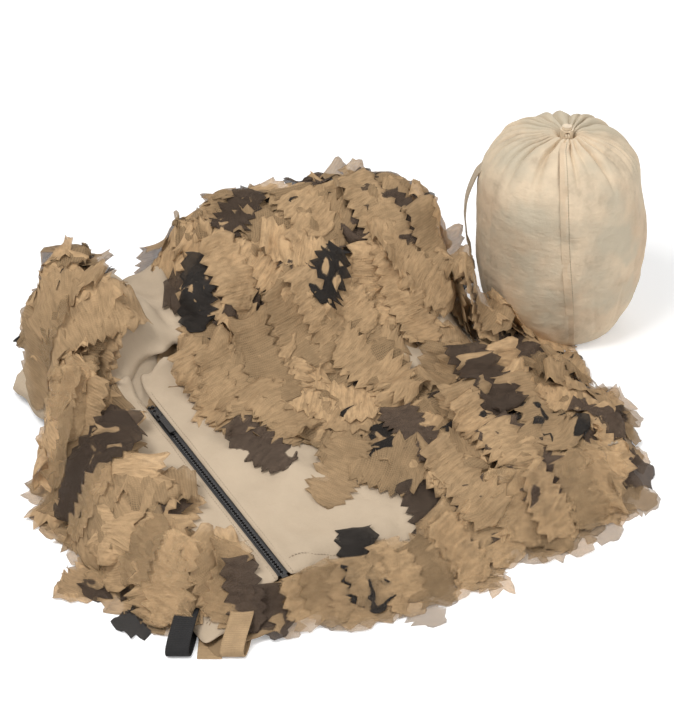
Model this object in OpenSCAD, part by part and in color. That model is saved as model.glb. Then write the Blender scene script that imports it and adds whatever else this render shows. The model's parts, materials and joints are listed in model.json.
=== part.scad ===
// A leaf-strip ghillie suit, a hooded jacket and trousers, folded into a low heap, with a full
// drawstring stuff sack standing behind it. The origin is on the ground, at the middle of the
// whole object's outline. +Z is up and -Y is the side towards the jacket's hem.

/* [Jacket] */
// Turn of the folded jacket about the vertical, in degrees
jacket_turn = 32; // [20:1:40]
// Slope of the jacket's front, rising away from the hem, in degrees
front_slope = 8; // [4:1:10]
// Folded jacket to the wearer's left of the zip
left_w = 400; // [330:5:480]
// Folded jacket to the wearer's right of the zip
right_w = 95; // [80:1:115]
// Folded jacket from the hem to the shoulder fold
jacket_l = 330; // [325:1:400]
// Height of the hem's underside above the ground
hem_lift = 20; // [14:1:30]
// Thickness of the folded front panels
front_t = 20; // [14:1:26]
// Width of the turned hem
hem_w = 24; // [18:1:30]
// Thickness of the turned hem
hem_t = 1.2; // [0.8:0.1:2]
// How much higher the folded shoulders lie than the front's rear edge
shoulder_rise = 2; // [1:0.5:12]
// Height of the hood above the folded sleeve
hood_h = 76; // [60:1:95]
// Thickness of one layer of a folded sleeve
sleeve_t = 42; // [34:1:50]
// Width of a cuff
cuff_w = 30; // [24:1:38]
// Thickness of a cuff's elastic
cuff_t = 2; // [1.5:0.1:3]

/* [Zip] */
// Length of the zip's chain
zip_l = 290; // [240:1:300]
// Width of one zip tape
tape_w = 13; // [11:0.5:16]
// Thickness of a zip tape
tape_t = 0.6; // [0.5:0.1:0.9]
// Width of one row of zip elements
chain_w = 2.8; // [2.4:0.1:3.4]
// Height of the zip elements
chain_h = 2.6; // [2.2:0.1:3]
// Distance between zip elements
element_pitch = 4; // [3:0.5:6]
// Gap between the two rows of elements
chain_gap = 1.2; // [1:0.1:1.6]
// Width of the slider
slider_w = 9.6; // [9:0.1:12]
// Length of the slider
slider_l = 14; // [11:0.5:18]
// Length of the pull tab
pull_l = 32; // [22:1:45]
// Width of the pull tab
pull_w = 7; // [5:0.5:9]

/* [Trousers] */
// Length of a folded trouser leg
leg_l = 345; // [280:5:370]
// Width of a folded trouser leg
leg_w = 150; // [120:2:165]
// Thickness of a folded trouser leg
leg_t = 28; // [22:1:34]
// Width of the waistband
waistband_w = 40; // [32:1:48]
// Length of the folded waistband
waistband_l = 160; // [130:2:190]
// Thickness of the folded waistband
waistband_t = 8; // [6:0.5:12]
// Thickness of the waist elastic
elastic_t = 1.4; // [1:0.1:2]

/* [Leaf strips] */
// Thickness of a crinkled strip as it lies
strip_t = 2; // [1:0.1:3]
// Width of a strip over its teeth
strip_w = 50; // [40:1:56]
// Length of a strip on the heap
strip_l = 100; // [80:1:120]
// Length of a strip that lies on the ground
fringe_l = 100; // [80:1:120]
// Distance between teeth
tooth_pitch = 15; // [12:1:20]
// Depth of a tooth
tooth_d = 8; // [5:0.5:10]
// Gap between neighbouring strips
strip_gap = 3; // [1:0.5:6]

/* [Webbing] */
// Width of the webbing
webbing_w = 25; // [20:1:32]
// Thickness of the webbing
webbing_t = 1.4; // [1:0.1:2]
// Width of a webbing loop
loop_w = 24; // [20:1:30]

/* [Sack] */
// Height of the full sack
sack_h = 268; // [220:1:330]
// Largest radius of the sack
sack_r = 106.5; // [88:0.5:130]
// Radius of the flat base
base_r = 66; // [54:1:76]
// Thickness of the sack's cloth
cloth_t = 0.8; // [0.5:0.1:1.5]
// Radius of the gathered mouth
mouth_r = 17; // [15:0.5:22]
// Radius of the gathered cord channel
channel_r = 4; // [3.4:0.1:5]
// Width of the carry strap
strap_w = 20; // [15:1:26]
// Thickness of the carry strap
strap_t = 1.6; // [1:0.1:2.5]
// How far the carry strap bows away from the sack
strap_bow = 12; // [8:1:18]
// Width of the seam tape
seam_w = 9; // [6:0.5:14]

/* [Cord lock] */
// Diameter of the drawcord
cord_d = 3; // [2.5:0.1:3.4]
// Outside diameter of the cord lock
lock_d = 16; // [15:0.1:19.5]
// Height of the cord lock's barrel
lock_h = 17; // [17:0.5:20]
// Travel of the cord lock's button
button_travel = 3.5; // [2.5:0.1:3.6]
// Wire diameter of the cord lock's spring
wire_d = 0.5; // [0.4:0.1:0.6]

/* [Clearances] */
// Gap between the sack and the sleeve beside it
sack_clear = 6; // [2:1:30]
// Gap between pieces that lie side by side
lay_gap = 0.3; // [0.2:0.05:0.5]
// Running clearance of the small moving pieces
run_gap = 0.3; // [0.2:0.05:0.4]

/* [Hidden] */
$fn = 48;
eps = 0.01;
cut_size = 1200;

// Places on the ground, measured from a point under the middle of the heap
zip_foot = [-53, -470];
webbing_front = -549;
function on_ground_at(p) = [
    zip_foot[0] + p[0] * cos(jacket_turn) - p[1] * sin(jacket_turn),
    zip_foot[1] + p[0] * sin(jacket_turn) + p[1] * cos(jacket_turn)];

// The folded trousers, turned a little against the jacket
trouser_turn = -14;
trouser_place = [216, jacket_l + 66];
leg_start = -130;
leg_r = 30;
// How the second leg lies on the first: shorter at both ends and moved sideways
second_in = 18;
second_short = 17;
second_low_side = 10;
second_high_side = 6;

// The sack stands beside the left sleeve
left_sleeve_l = 250;
left_sleeve_w = 70;
left_sleeve_y = 40;
sack_along = 308;
sack_place = on_ground_at([left_w + left_sleeve_w + sack_clear + sack_r, sack_along]);
webbing_x = -128;
webbing_step = webbing_w / 2 + loop_w / 2 + 3;

// The right cuff's corner is the leftmost point of the whole object
shoulder_x = 62;
sleeve_w = 120;
sleeve_l = 188;
cuff_inset = 6;
cuff_tuck = 10;
reach_left = on_ground_at([shoulder_x - sleeve_w + cuff_inset,
    jacket_l + lay_gap + sleeve_l + cuff_w / 2])[0];
shift = -[(reach_left + sack_place[0] + sack_r) / 2,
    (webbing_front + sack_place[1] + sack_r) / 2];

// The jacket's front corner is folded under, where the webbing comes out
corner_x = -40;
corner_y = 60;
front_reach = 5;
trough_w = 18;
zip_start = 8;
zip_top = zip_start + zip_l;
slider_y = zip_top - 18;

// Heights over the sloping front, from the plane that carries the front panels
tape_z = front_t;
chain_z = tape_z + tape_t / 2 - chain_h / 2;
chain_x = chain_gap / 2;
plate_t = 1.4;
low_plate_z = chain_z - run_gap - plate_t;
top_plate_z = chain_z + chain_h + run_gap;
neck_w = chain_gap - 2 * 0.2;
neck_l = 4;
flange_w = 0.9;
lug_t = 0.9;
lug_gap = 4;
pull_t = 1.4;
pin_d = 1.4;
pin_z = top_plate_z + plate_t + 1.3;
lug_h = pin_z + 1.2 - top_plate_z - plate_t;

// Heap levels
shoulder_h = hem_lift + jacket_l * sin(front_slope) + front_t * cos(front_slope) + shoulder_rise;
sleeve_top = 2 * sleeve_t;
hood_in = 12;
hood_w = sleeve_w - 16;
hood_l = sleeve_l - 40;
leg_z = shoulder_h + lay_gap;
second_leg_z = leg_z + leg_t + lay_gap;
seat_z = second_leg_z + leg_t + lay_gap;
seat_t = leg_t - 2;
seat_x = -62;
seat_y = 15;
seat_l = 250;
seat_w = 130;
seat_r = 34;
waistband_z = seat_z + seat_t;
waistband_y = 22;
elastic_in = [5, 4];
strip_step = strip_w + strip_gap;
row_step = strip_l * 0.6;
narrow_strip_w = 44;
fringe_start = [70, 90, 75];
fringe_count = [7, 5, 3];
shingle_x = 130;
shingle_columns = 5;
shingle_rows = 4;
flap_start = 68;
flap_count = 5;

// Sack
gather_z = sack_h - 10;
dish_r = mouth_r + channel_r + lay_gap;
dish_depth = 8;
dish_lean = atan(dish_depth / dish_r);
function dish_z(r) = gather_z - dish_depth * (1 - r / dish_r);
channel_z = dish_z(mouth_r) + (channel_r + lay_gap) / cos(dish_lean);
lock_base_z = dish_z(lock_d / 2) + lay_gap;
cord_in_lock = 12;
lock_wall = 2;
lock_floor = 1.5;
spring_l = 6;
spring_turns = 4;
button_l = 13.5;
cord_bore_d = 2 * cord_d + 1;
tail_x = cord_d / 2 + 0.1;
tail_back = 11.5;
tail_front = mouth_r - channel_r - 0.5;

strap_n = 12;
strap_low = 0.3;
strap_high = 0.9;

tan_leaf = [0.74, 0.62, 0.47];
brown_leaf = [0.37, 0.31, 0.27];
black_leaf = [0.16, 0.15, 0.15];
cream_cloth = [0.87, 0.80, 0.70];

// ---- frames ----

module on_ground() {
    translate([shift[0], shift[1], 0]) children();
}

module beside_zip() {
    on_ground() translate([zip_foot[0], zip_foot[1], 0]) rotate(jacket_turn) children();
}

module on_front() {
    beside_zip() translate([0, 0, hem_lift]) rotate([front_slope, 0, 0]) children();
}

module on_trousers() {
    beside_zip() translate([trouser_place[0], trouser_place[1], 0]) rotate(trouser_turn) children();
}

module at_sack() {
    on_ground() translate([sack_place[0], sack_place[1], 0]) children();
}

// ---- shared shapes ----

module rounded_slab(low, high, r, h) {
    linear_extrude(h)
        hull()
            for (x = [low[0] + r, high[0] - r], y = [low[1] + r, high[1] - r])
                translate([x, y]) circle(r, $fn = 32);
}

// A flattened cloth tube lying along Y, with round edges
module flat_tube(low_x, high_x, low_y, l, z, t) {
    hull()
        for (x = [low_x + t / 2, high_x - t / 2])
            translate([x, low_y, z + t / 2]) rotate([-90, 0, 0]) cylinder(d = t, h = l, $fn = 32);
}

// Half width of a leaf strip at a distance along it: straight, then a round tip
function leaf_half_w(l, w, y) =
    y < l - w / 2 ? w / 2 : sqrt(max(0, pow(w / 2, 2) - pow(y - l + w / 2, 2)));

// One toothed side, from the root to the tip
function leaf_side(l, w, n) = [for (i = [0:n - 1]) each [
    [max(tooth_d / 4, leaf_half_w(l, w, i * l / n) - tooth_d), i * l / n],
    [max(tooth_d / 2, leaf_half_w(l, w, (i + 0.6) * l / n)), (i + 0.6) * l / n]]];

function leaf_outline(l, w) =
    let (n = round(l / tooth_pitch), side = leaf_side(l, w, n))
    concat(side, [[0, l]], [for (i = [len(side) - 1:-1:0]) [-side[i][0], side[i][1]]]);

module leaf_strip(l, w = strip_w) {
    linear_extrude(strip_t) polygon(leaf_outline(l, w));
}

// A steady mix of strip lengths and colours: 0 is tan, 1 is brown, 2 is black
function strip_share(i) = 0.86 + 0.14 * ((i * 5) % 7) / 6;
function strip_colour(i) = i % 6 == 2 ? 1 : i % 11 == 5 ? 2 : 0;

// Rows of strips laid like shingles, pointing towards -Y, every second row one strip higher
module shingles(first_x, columns, first_y, rows, z, colour) {
    for (r = [0:rows - 1], c = [0:columns - 1])
        if (strip_colour(r * 5 + c * 3) == colour)
            translate([first_x + c * strip_step + (r % 2) * strip_step / 3,
                first_y + r * row_step, z + (r % 2) * (strip_t + lay_gap)])
                rotate(180) leaf_strip(strip_l * strip_share(r + 2 * c));
}

// ---- jacket ----

module jacket_outline() {
    polygon([[corner_x, -front_reach], [left_w, -front_reach], [left_w, jacket_l],
        [-right_w, jacket_l], [-right_w, corner_y]]);
}

module jacket_back_panel() {
    color(cream_cloth)
        difference() {
            beside_zip() linear_extrude(shoulder_h) jacket_outline();
            on_front() translate([-cut_size / 2, -cut_size / 2, 0]) cube(cut_size);
        }
}

module jacket_front_left_panel() {
    color(cream_cloth)
        on_front() linear_extrude(front_t)
            polygon([[trough_w / 2, 0], [left_w, 0], [left_w, jacket_l], [trough_w / 2, jacket_l]]);
}

module jacket_front_right_panel() {
    color(cream_cloth)
        on_front() linear_extrude(front_t)
            polygon([[-trough_w / 2, 0], [-trough_w / 2, jacket_l], [-right_w, jacket_l],
                [-right_w, corner_y], [corner_x, 0]]);
}

module jacket_hem_left() {
    color(cream_cloth)
        on_front() translate([tape_w + 3, 0, front_t]) cube([left_w - tape_w - 3, hem_w, hem_t]);
}

module jacket_hem_right() {
    color(cream_cloth)
        on_front() translate([corner_x, 0, front_t]) cube([-corner_x - tape_w - 3, hem_w, hem_t]);
}

module jacket_shoulders() {
    shoulder_l = 200;
    // The far shoulder's corner and the nape, from where the left side ends
    corner = [36, 70];
    nape = [-50, 132];
    color(cream_cloth)
        beside_zip() linear_extrude(shoulder_h)
            polygon([[shoulder_x, jacket_l + lay_gap], [left_w + 2, jacket_l + lay_gap],
                [left_w + corner[0], jacket_l + corner[1]], [left_w + nape[0], jacket_l + nape[1]],
                [shoulder_x, jacket_l + shoulder_l]]);
}

module on_hood_corner() {
    beside_zip() translate([shoulder_x - sleeve_w + hood_in, jacket_l + hood_in, sleeve_top])
        children();
}

module jacket_hood() {
    r = 26;
    color(cream_cloth)
        on_hood_corner()
            hull() {
                for (x = [r, hood_w - r], y = [r, hood_l - r]) {
                    translate([x, y, 0]) cylinder(r = r, h = hood_h - r, $fn = 32);
                    translate([x, y, hood_h - r]) sphere(r, $fn = 32);
                }
            }
}

// The sleeve that is folded back on itself beside the shoulders
module jacket_sleeve_right() {
    color(tan_leaf)
        beside_zip()
            for (layer = [0, 1])
                flat_tube(shoulder_x - sleeve_w, shoulder_x - lay_gap, jacket_l + lay_gap,
                    sleeve_l, layer * sleeve_t, sleeve_t);
}

module jacket_cuff_right() {
    color(brown_leaf)
        beside_zip() translate([0, jacket_l + lay_gap + sleeve_l, 0])
            flat_tube(shoulder_x - sleeve_w + cuff_inset, shoulder_x - cuff_tuck, 0, cuff_w / 2,
                cuff_t, sleeve_t - 2 * cuff_t);
}

// The sleeve along the other side, partly under the heap
module jacket_sleeve_left() {
    color(tan_leaf)
        beside_zip()
            flat_tube(left_w + lay_gap, left_w + left_sleeve_w, left_sleeve_y, left_sleeve_l,
                0, sleeve_t);
}

module jacket_cuff_left() {
    inset = 8;
    color(brown_leaf)
        beside_zip()
            flat_tube(left_w + inset, left_w + left_sleeve_w - inset, left_sleeve_y - cuff_w, cuff_w,
                cuff_t, sleeve_t - 2 * cuff_t);
}

// ---- zip ----

module zip_tape(side) {
    low_x = side > 0 ? chain_x + chain_w - 0.4 : -tape_w - chain_x;
    on_front() translate([low_x, zip_start, tape_z])
        cube([tape_w - chain_w + 0.4, zip_l, tape_t]);
}

module zip_tape_left() {
    color([0.12, 0.12, 0.13]) zip_tape(1);
}

module zip_tape_right() {
    color([0.12, 0.12, 0.13]) zip_tape(-1);
}

// A row of elements on a straight core that is sewn to the tape's edge
module zip_chain(side) {
    core_w = chain_w / 2;
    count = floor(zip_l / element_pitch);
    tooth = element_pitch * 0.55;
    edge = [for (i = [0:count - 1]) each [
        [chain_x + core_w, i * element_pitch], [chain_x, i * element_pitch],
        [chain_x, i * element_pitch + tooth], [chain_x + core_w, i * element_pitch + tooth]]];
    outer = chain_x + chain_w - 0.4;
    on_front() translate([0, zip_start, chain_z]) mirror([side > 0 ? 0 : 1, 0, 0])
        linear_extrude(chain_h)
            polygon(concat(edge, [[outer, (count - 1) * element_pitch + tooth], [outer, 0]]));
}

module zip_chain_left() {
    color([0.08, 0.08, 0.09]) zip_chain(1);
}

module zip_chain_right() {
    color([0.08, 0.08, 0.09]) zip_chain(-1);
}

module zip_bottom_stop() {
    color([0.3, 0.3, 0.3])
        on_front() translate([-chain_x - chain_w, zip_start - 5, chain_z])
            cube([2 * (chain_x + chain_w), 5 - eps, chain_h]);
}

module zip_top_stops() {
    color([0.3, 0.3, 0.3])
        on_front()
            for (x = [-chain_x - chain_w, chain_x])
                translate([x, zip_top + eps, chain_z]) cube([chain_w, 3, chain_h]);
}

module zip_slider() {
    color([0.1, 0.1, 0.1])
        on_front() translate([0, slider_y, 0]) {
            for (z = [low_plate_z, top_plate_z])
                translate([-slider_w / 2, -slider_l / 2, z]) cube([slider_w, slider_l, plate_t]);
            translate([-neck_w / 2, slider_l / 2 - neck_l, low_plate_z])
                cube([neck_w, neck_l, top_plate_z - low_plate_z + eps]);
            for (x = [-slider_w / 2, slider_w / 2 - flange_w])
                translate([x, -slider_l / 2, tape_z + tape_t + run_gap])
                    cube([flange_w, slider_l, top_plate_z - tape_z - tape_t - run_gap + eps]);
            for (x = [-lug_gap / 2 - lug_t, lug_gap / 2])
                translate([x, -1.5, top_plate_z + plate_t - eps]) cube([lug_t, 3, lug_h]);
            translate([-lug_gap / 2 - eps, 0, pin_z]) rotate([0, 90, 0])
                cylinder(d = pin_d, h = lug_gap + 2 * eps);
        }
}

module zip_pull() {
    eye_d = 2.6;
    eye_w = lug_gap - 2 * run_gap;
    color([0.1, 0.1, 0.1])
        on_front() translate([0, slider_y, pin_z])
            difference() {
                union() {
                    translate([-eye_w / 2, 0, 0]) rotate([0, 90, 0])
                        cylinder(d = eye_d, h = eye_w);
                    translate([-eye_w / 2, -6, -pull_t / 2]) cube([eye_w, 6, pull_t]);
                    translate([-pull_w / 2, -pull_l, -pull_t / 2])
                        cube([pull_w, pull_l - 5.5, pull_t]);
                }
                translate([-eye_w, 0, 0]) rotate([0, 90, 0])
                    cylinder(d = pin_d + 0.1, h = 2 * eye_w);
            }
}

// ---- trousers ----

module trousers_leg_left() {
    color(tan_leaf)
        on_trousers() translate([0, 0, leg_z])
            rounded_slab([leg_start, -leg_w / 2], [leg_start + leg_l, leg_w / 2], leg_r, leg_t);
}

module trousers_leg_right() {
    color(tan_leaf)
        on_trousers() translate([0, 0, second_leg_z])
            rounded_slab([leg_start + second_in, second_low_side - leg_w / 2],
                [leg_start - second_short + leg_l, leg_w / 2 + second_high_side], leg_r, leg_t);
}

module trousers_seat() {
    color(cream_cloth)
        on_trousers() translate([0, 0, seat_z])
            rounded_slab([seat_x, seat_y - seat_w / 2], [seat_x + seat_l, seat_y + seat_w / 2],
                seat_r, seat_t);
}

module waistband_place() {
    on_trousers() translate([seat_x + seat_l - waistband_l - 8, waistband_y, waistband_z]) children();
}

module trousers_waistband() {
    color(cream_cloth)
        waistband_place()
            difference() {
                cube([waistband_l, waistband_w, waistband_t]);
                translate([elastic_in[0], elastic_in[1], waistband_t / 2 - elastic_t / 2 - run_gap])
                    cube([waistband_l - 2 * elastic_in[0], waistband_w - 2 * elastic_in[1],
                        elastic_t + 2 * run_gap]);
            }
}

module trousers_waist_elastic() {
    color([0.9, 0.88, 0.82])
        waistband_place()
            translate([elastic_in[0] + run_gap, elastic_in[1] + run_gap,
                waistband_t / 2 - elastic_t / 2 - run_gap])
                cube([waistband_l - 2 * elastic_in[0] - 2 * run_gap,
                    waistband_w - 2 * elastic_in[1] - 2 * run_gap, elastic_t]);
}

// ---- webbing at the jacket's front corner ----

// Where the folded corner's edge lies over a place across it
corner_low = on_ground_at([corner_x, -front_reach]);
corner_high = on_ground_at([-right_w, corner_y]);
corner_lean = atan2(corner_high[1] - corner_low[1], corner_low[0] - corner_high[0]);
function corner_edge_y(x) = corner_low[1] + (corner_low[0] - x) * tan(corner_lean);

// How far apart the two round ends of a loop are, so that its back end meets the corner's edge
function ring_run(x) =
    corner_edge_y(x) - (loop_w / 2 + lay_gap) / cos(corner_lean) - webbing_front - loop_w / 2;

module webbing_ring(run) {
    r = loop_w / 2;
    for (out = [0, 1])
        translate([0, out * run, 0])
            difference() {
                cylinder(r = r, h = webbing_w);
                translate([0, 0, -1]) cylinder(r = r - webbing_t, h = webbing_w + 2);
                translate([-r - 1, out > 0 ? -r - 1 : 0, -1])
                    cube([loop_w + 2, r + 1, webbing_w + 2]);
            }
    for (x = [-r, r - webbing_t])
        translate([x, 0, 0]) cube([webbing_t, run, webbing_w]);
}

module webbing_loop_at(x) {
    on_ground() translate([x, webbing_front + loop_w / 2, 0]) webbing_ring(ring_run(x));
}

module webbing_loop_black() {
    color(black_leaf) webbing_loop_at(webbing_x - webbing_step);
}

module webbing_loop_tan() {
    color(tan_leaf) webbing_loop_at(webbing_x + webbing_step);
}

module webbing_tail() {
    high_x = webbing_x + webbing_w / 2;
    color(tan_leaf)
        on_ground() translate([webbing_x - webbing_w / 2, webbing_front, 0])
            cube([webbing_w, corner_edge_y(high_x) - lay_gap - webbing_front, webbing_t]);
}

// ---- leaf strips ----

module fringe_front() {
    color(tan_leaf)
        beside_zip()
            for (i = [0:fringe_count[0] - 1])
                translate([fringe_start[0] + i * strip_step, -front_reach - lay_gap, 0]) rotate(180)
                    leaf_strip(fringe_l * strip_share(i));
}

module fringe_side() {
    color(tan_leaf)
        beside_zip()
            for (i = [0:fringe_count[1] - 1])
                translate([-right_w - lay_gap, fringe_start[1] + i * strip_step, 0]) rotate(90)
                    leaf_strip(fringe_l * strip_share(i + 3));
}

// Strips on the ground beside the left sleeve, tucked under its round edge
module fringe_sleeve() {
    r = sleeve_t / 2;
    tuck = r - sqrt(r * r - pow(r - strip_t, 2));
    color(tan_leaf)
        beside_zip()
            for (i = [0:fringe_count[2] - 1])
                translate([left_w + left_sleeve_w - tuck + lay_gap,
                    fringe_start[2] + i * strip_step, 0])
                    rotate(-90) leaf_strip(fringe_l * 0.75 * strip_share(i));
}

module front_strips(colour) {
    on_front()
        shingles(shingle_x, shingle_columns, hem_w + lay_gap + strip_l, shingle_rows, front_t, colour);
}

module front_strips_tan() {
    color(tan_leaf) front_strips(0);
}

module front_strips_brown() {
    color(brown_leaf) front_strips(1);
}

module front_strips_black() {
    color(black_leaf) front_strips(2);
}

module flap_strips(colour) {
    on_front()
        for (i = [0:flap_count - 1])
            if (i % 2 == colour)
                translate([-tape_w - 4, flap_start + i * (strip_w - 4), front_t]) rotate(90)
                    leaf_strip(right_w - tape_w - 6, strip_w - 6);
}

module flap_strips_tan() {
    color(tan_leaf) flap_strips(0);
}

module flap_strips_brown() {
    color(brown_leaf) flap_strips(1);
}

module rear_strips(places) {
    on_trousers()
        for (i = places)
            translate([seat_x + strip_w / 2 + i * strip_step, 12, waistband_z]) rotate(180)
                leaf_strip(58);
}

module rear_strips_tan() {
    color(tan_leaf) rear_strips([0, 1]);
}

module rear_strips_brown() {
    color(brown_leaf) rear_strips([2]);
}

module rear_strips_black() {
    color(black_leaf) rear_strips([3]);
}

module sleeve_strips(first) {
    beside_zip()
        for (i = [first:2:3])
            translate([left_w + left_sleeve_w - 24, 66 + i * strip_step, sleeve_t]) rotate(90)
                leaf_strip(40, narrow_strip_w);
}

module sleeve_strips_tan() {
    color(tan_leaf) sleeve_strips(0);
}

module sleeve_strips_brown() {
    color(brown_leaf) sleeve_strips(1);
}

module hood_strips_tan() {
    color(tan_leaf)
        on_hood_corner() translate([hood_w / 2, 110, hood_h])
            rotate(180) leaf_strip(78, narrow_strip_w);
}

// ---- sack ----

// Outer radius of the sack by height, as shares of the largest radius and the height
function sack_profile() = [[base_r, 0], [0.8 * sack_r, 0.045 * sack_h], [0.89 * sack_r, 0.15 * sack_h],
    [0.97 * sack_r, 0.3 * sack_h], [sack_r, 0.48 * sack_h], [sack_r, 0.62 * sack_h],
    [0.96 * sack_r, 0.76 * sack_h], [0.86 * sack_r, 0.87 * sack_h], [0.68 * sack_r, 0.95 * sack_h],
    [0.45 * sack_r, sack_h]];

module sack_solid(inset) {
    rotate_extrude($fn = 96)
        polygon(concat([[0, inset]],
            [for (p = sack_profile()) [p[0] - inset, max(inset, p[1] - (p[1] > sack_h / 2 ? inset : 0))]],
            [[dish_r, gather_z - inset], [0, gather_z - dish_depth - inset]]));
}

module sack_wall() {
    color(cream_cloth)
        at_sack()
            difference() {
                sack_solid(0);
                sack_solid(cloth_t);
                translate([0, 0, -1]) cylinder(r = base_r - cloth_t, h = cloth_t + 1 + eps);
            }
}

module sack_base() {
    color(cream_cloth)
        at_sack() cylinder(r = base_r - cloth_t - lay_gap, h = cloth_t);
}

module sack_filling() {
    color([0.66, 0.62, 0.52]) at_sack() sack_solid(cloth_t + lay_gap);
}

// The cord's two ends, out of the channel at the back and through the cord lock
module cord_leads(d) {
    rise = lock_base_z + cord_in_lock - channel_z;
    run = mouth_r - tail_back;
    for (x = [-tail_x, tail_x])
        translate([x, tail_back, channel_z + rise])
            rotate([-90 - atan(rise / run), 0, 0]) cylinder(d = d, h = norm([rise, run]));
}

module sack_cord_channel() {
    color(cream_cloth)
        at_sack()
            difference() {
                translate([0, 0, channel_z])
                    rotate_extrude($fn = 64) translate([mouth_r, 0])
                        difference() {
                            circle(channel_r, $fn = 32);
                            circle(cord_d / 2 + run_gap, $fn = 32);
                        }
                cord_leads(cord_d + 2 * run_gap);
            }
}

module sack_drawcord() {
    color([0.85, 0.8, 0.7])
        at_sack() {
            translate([0, 0, channel_z])
                rotate_extrude($fn = 64) translate([mouth_r, 0]) circle(cord_d / 2, $fn = 32);
            cord_leads(cord_d);
            for (x = [-tail_x, tail_x])
                translate([x, 0, lock_base_z + cord_in_lock]) {
                    translate([0, tail_back, 0]) rotate([90, 0, 0])
                        cylinder(d = cord_d, h = tail_back + tail_front);
                    translate([0, tail_back, 0]) sphere(d = cord_d);
                }
        }
}

module sack_seam_tape() {
    color([0.8, 0.72, 0.6])
        at_sack()
            intersection() {
                translate([-seam_w / 2, -sack_r - 5, 0.1 * sack_h])
                    cube([seam_w, sack_r, 0.74 * sack_h]);
                difference() {
                    sack_solid(-cloth_t - lay_gap);
                    sack_solid(-lay_gap);
                }
            }
}

module sack_carry_strap() {
    color([0.82, 0.74, 0.6])
        at_sack() translate([0, strap_w / 2, 0]) rotate([90, 0, 0])
            linear_extrude(strap_w)
                polygon(concat(strap_side(0), [for (i = [strap_n:-1:0]) strap_side(strap_t)[i]]));
}

// Points along the strap: its two ends touch the sack and its middle bows away
function sack_r_at(z) = lookup(z, [for (p = sack_profile()) [p[1], p[0]]]);
function strap_side(out) = [for (i = [0:strap_n])
    let (s = i / strap_n, z = sack_h * (strap_low + (strap_high - strap_low) * s))
    [-sack_r_at(z) - lay_gap - strap_bow * sin(180 * s) - out, z]];

// ---- cord lock ----

module at_lock() {
    at_sack() translate([0, 0, lock_base_z]) children();
}

module cord_lock_barrel() {
    color([0.85, 0.79, 0.66])
        at_lock()
            difference() {
                cylinder(d = lock_d, h = lock_h);
                translate([0, 0, lock_floor]) cylinder(d = lock_d - 2 * lock_wall, h = lock_h);
                translate([0, lock_d, cord_in_lock]) rotate([90, 0, 0])
                    cylinder(d = cord_bore_d, h = 2 * lock_d);
            }
}

module cord_lock_button() {
    r = lock_d / 2 - lock_wall - run_gap;
    low = lock_floor + spring_l;
    slot_low = cord_in_lock - cord_d / 2 - run_gap;
    slot_high = cord_in_lock + cord_d / 2 + button_travel + run_gap;
    color([0.85, 0.79, 0.66])
        at_lock()
            difference() {
                translate([0, 0, low]) cylinder(r = r, h = button_l);
                translate([-cord_bore_d / 2, -lock_d, slot_low])
                    cube([cord_bore_d, 2 * lock_d, slot_high - slot_low]);
            }
}

// One ring of points round the spring's wire at each step along its turns
function spring_ring(a, z, r) = [for (k = [0:5])
    let (q = r + wire_d / 2 * cos(k * 60)) [q * cos(a), q * sin(a), z + wire_d / 2 * sin(k * 60)]];

module cord_lock_spring() {
    steps = spring_turns * 12;
    rise = spring_l - wire_d - 2 * eps;
    r = lock_d / 2 - lock_wall - 1.2;
    points = [for (i = [0:steps])
        each spring_ring(i * 360 / 12, lock_floor + wire_d / 2 + eps + rise * i / steps, r)];
    sides = [for (i = [0:steps - 1], k = [0:5])
        [i * 6 + k, i * 6 + (k + 1) % 6, (i + 1) * 6 + (k + 1) % 6, (i + 1) * 6 + k]];
    color([0.75, 0.75, 0.78])
        at_lock()
            polyhedron(points, concat(sides, [[for (k = [5:-1:0]) k],
                [for (k = [0:5]) steps * 6 + k]]), convexity = 6);
}

jacket_back_panel();
jacket_front_left_panel();
jacket_front_right_panel();
jacket_shoulders();
jacket_hood();
jacket_sleeve_left();
jacket_sleeve_right();
jacket_cuff_left();
jacket_cuff_right();
jacket_hem_left();
jacket_hem_right();
zip_tape_left();
zip_tape_right();
zip_chain_left();
zip_chain_right();
zip_bottom_stop();
zip_top_stops();
zip_slider();
zip_pull();
trousers_leg_left();
trousers_leg_right();
trousers_seat();
trousers_waistband();
trousers_waist_elastic();
webbing_loop_tan();
webbing_loop_black();
webbing_tail();
fringe_front();
fringe_side();
fringe_sleeve();
front_strips_tan();
front_strips_brown();
front_strips_black();
flap_strips_tan();
flap_strips_brown();
rear_strips_tan();
rear_strips_brown();
rear_strips_black();
sleeve_strips_tan();
sleeve_strips_brown();
hood_strips_tan();
sack_wall();
sack_base();
sack_filling();
sack_cord_channel();
sack_drawcord();
sack_seam_tape();
sack_carry_strap();
cord_lock_barrel();
cord_lock_button();
cord_lock_spring();
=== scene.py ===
import json
import math

import bmesh
import bpy
import numpy as np
from bpy.props import FloatProperty, FloatVectorProperty, IntProperty, PointerProperty
from bpy.types import Operator, Panel, PropertyGroup
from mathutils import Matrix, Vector, noise
from mathutils.bvhtree import BVHTree

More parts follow.
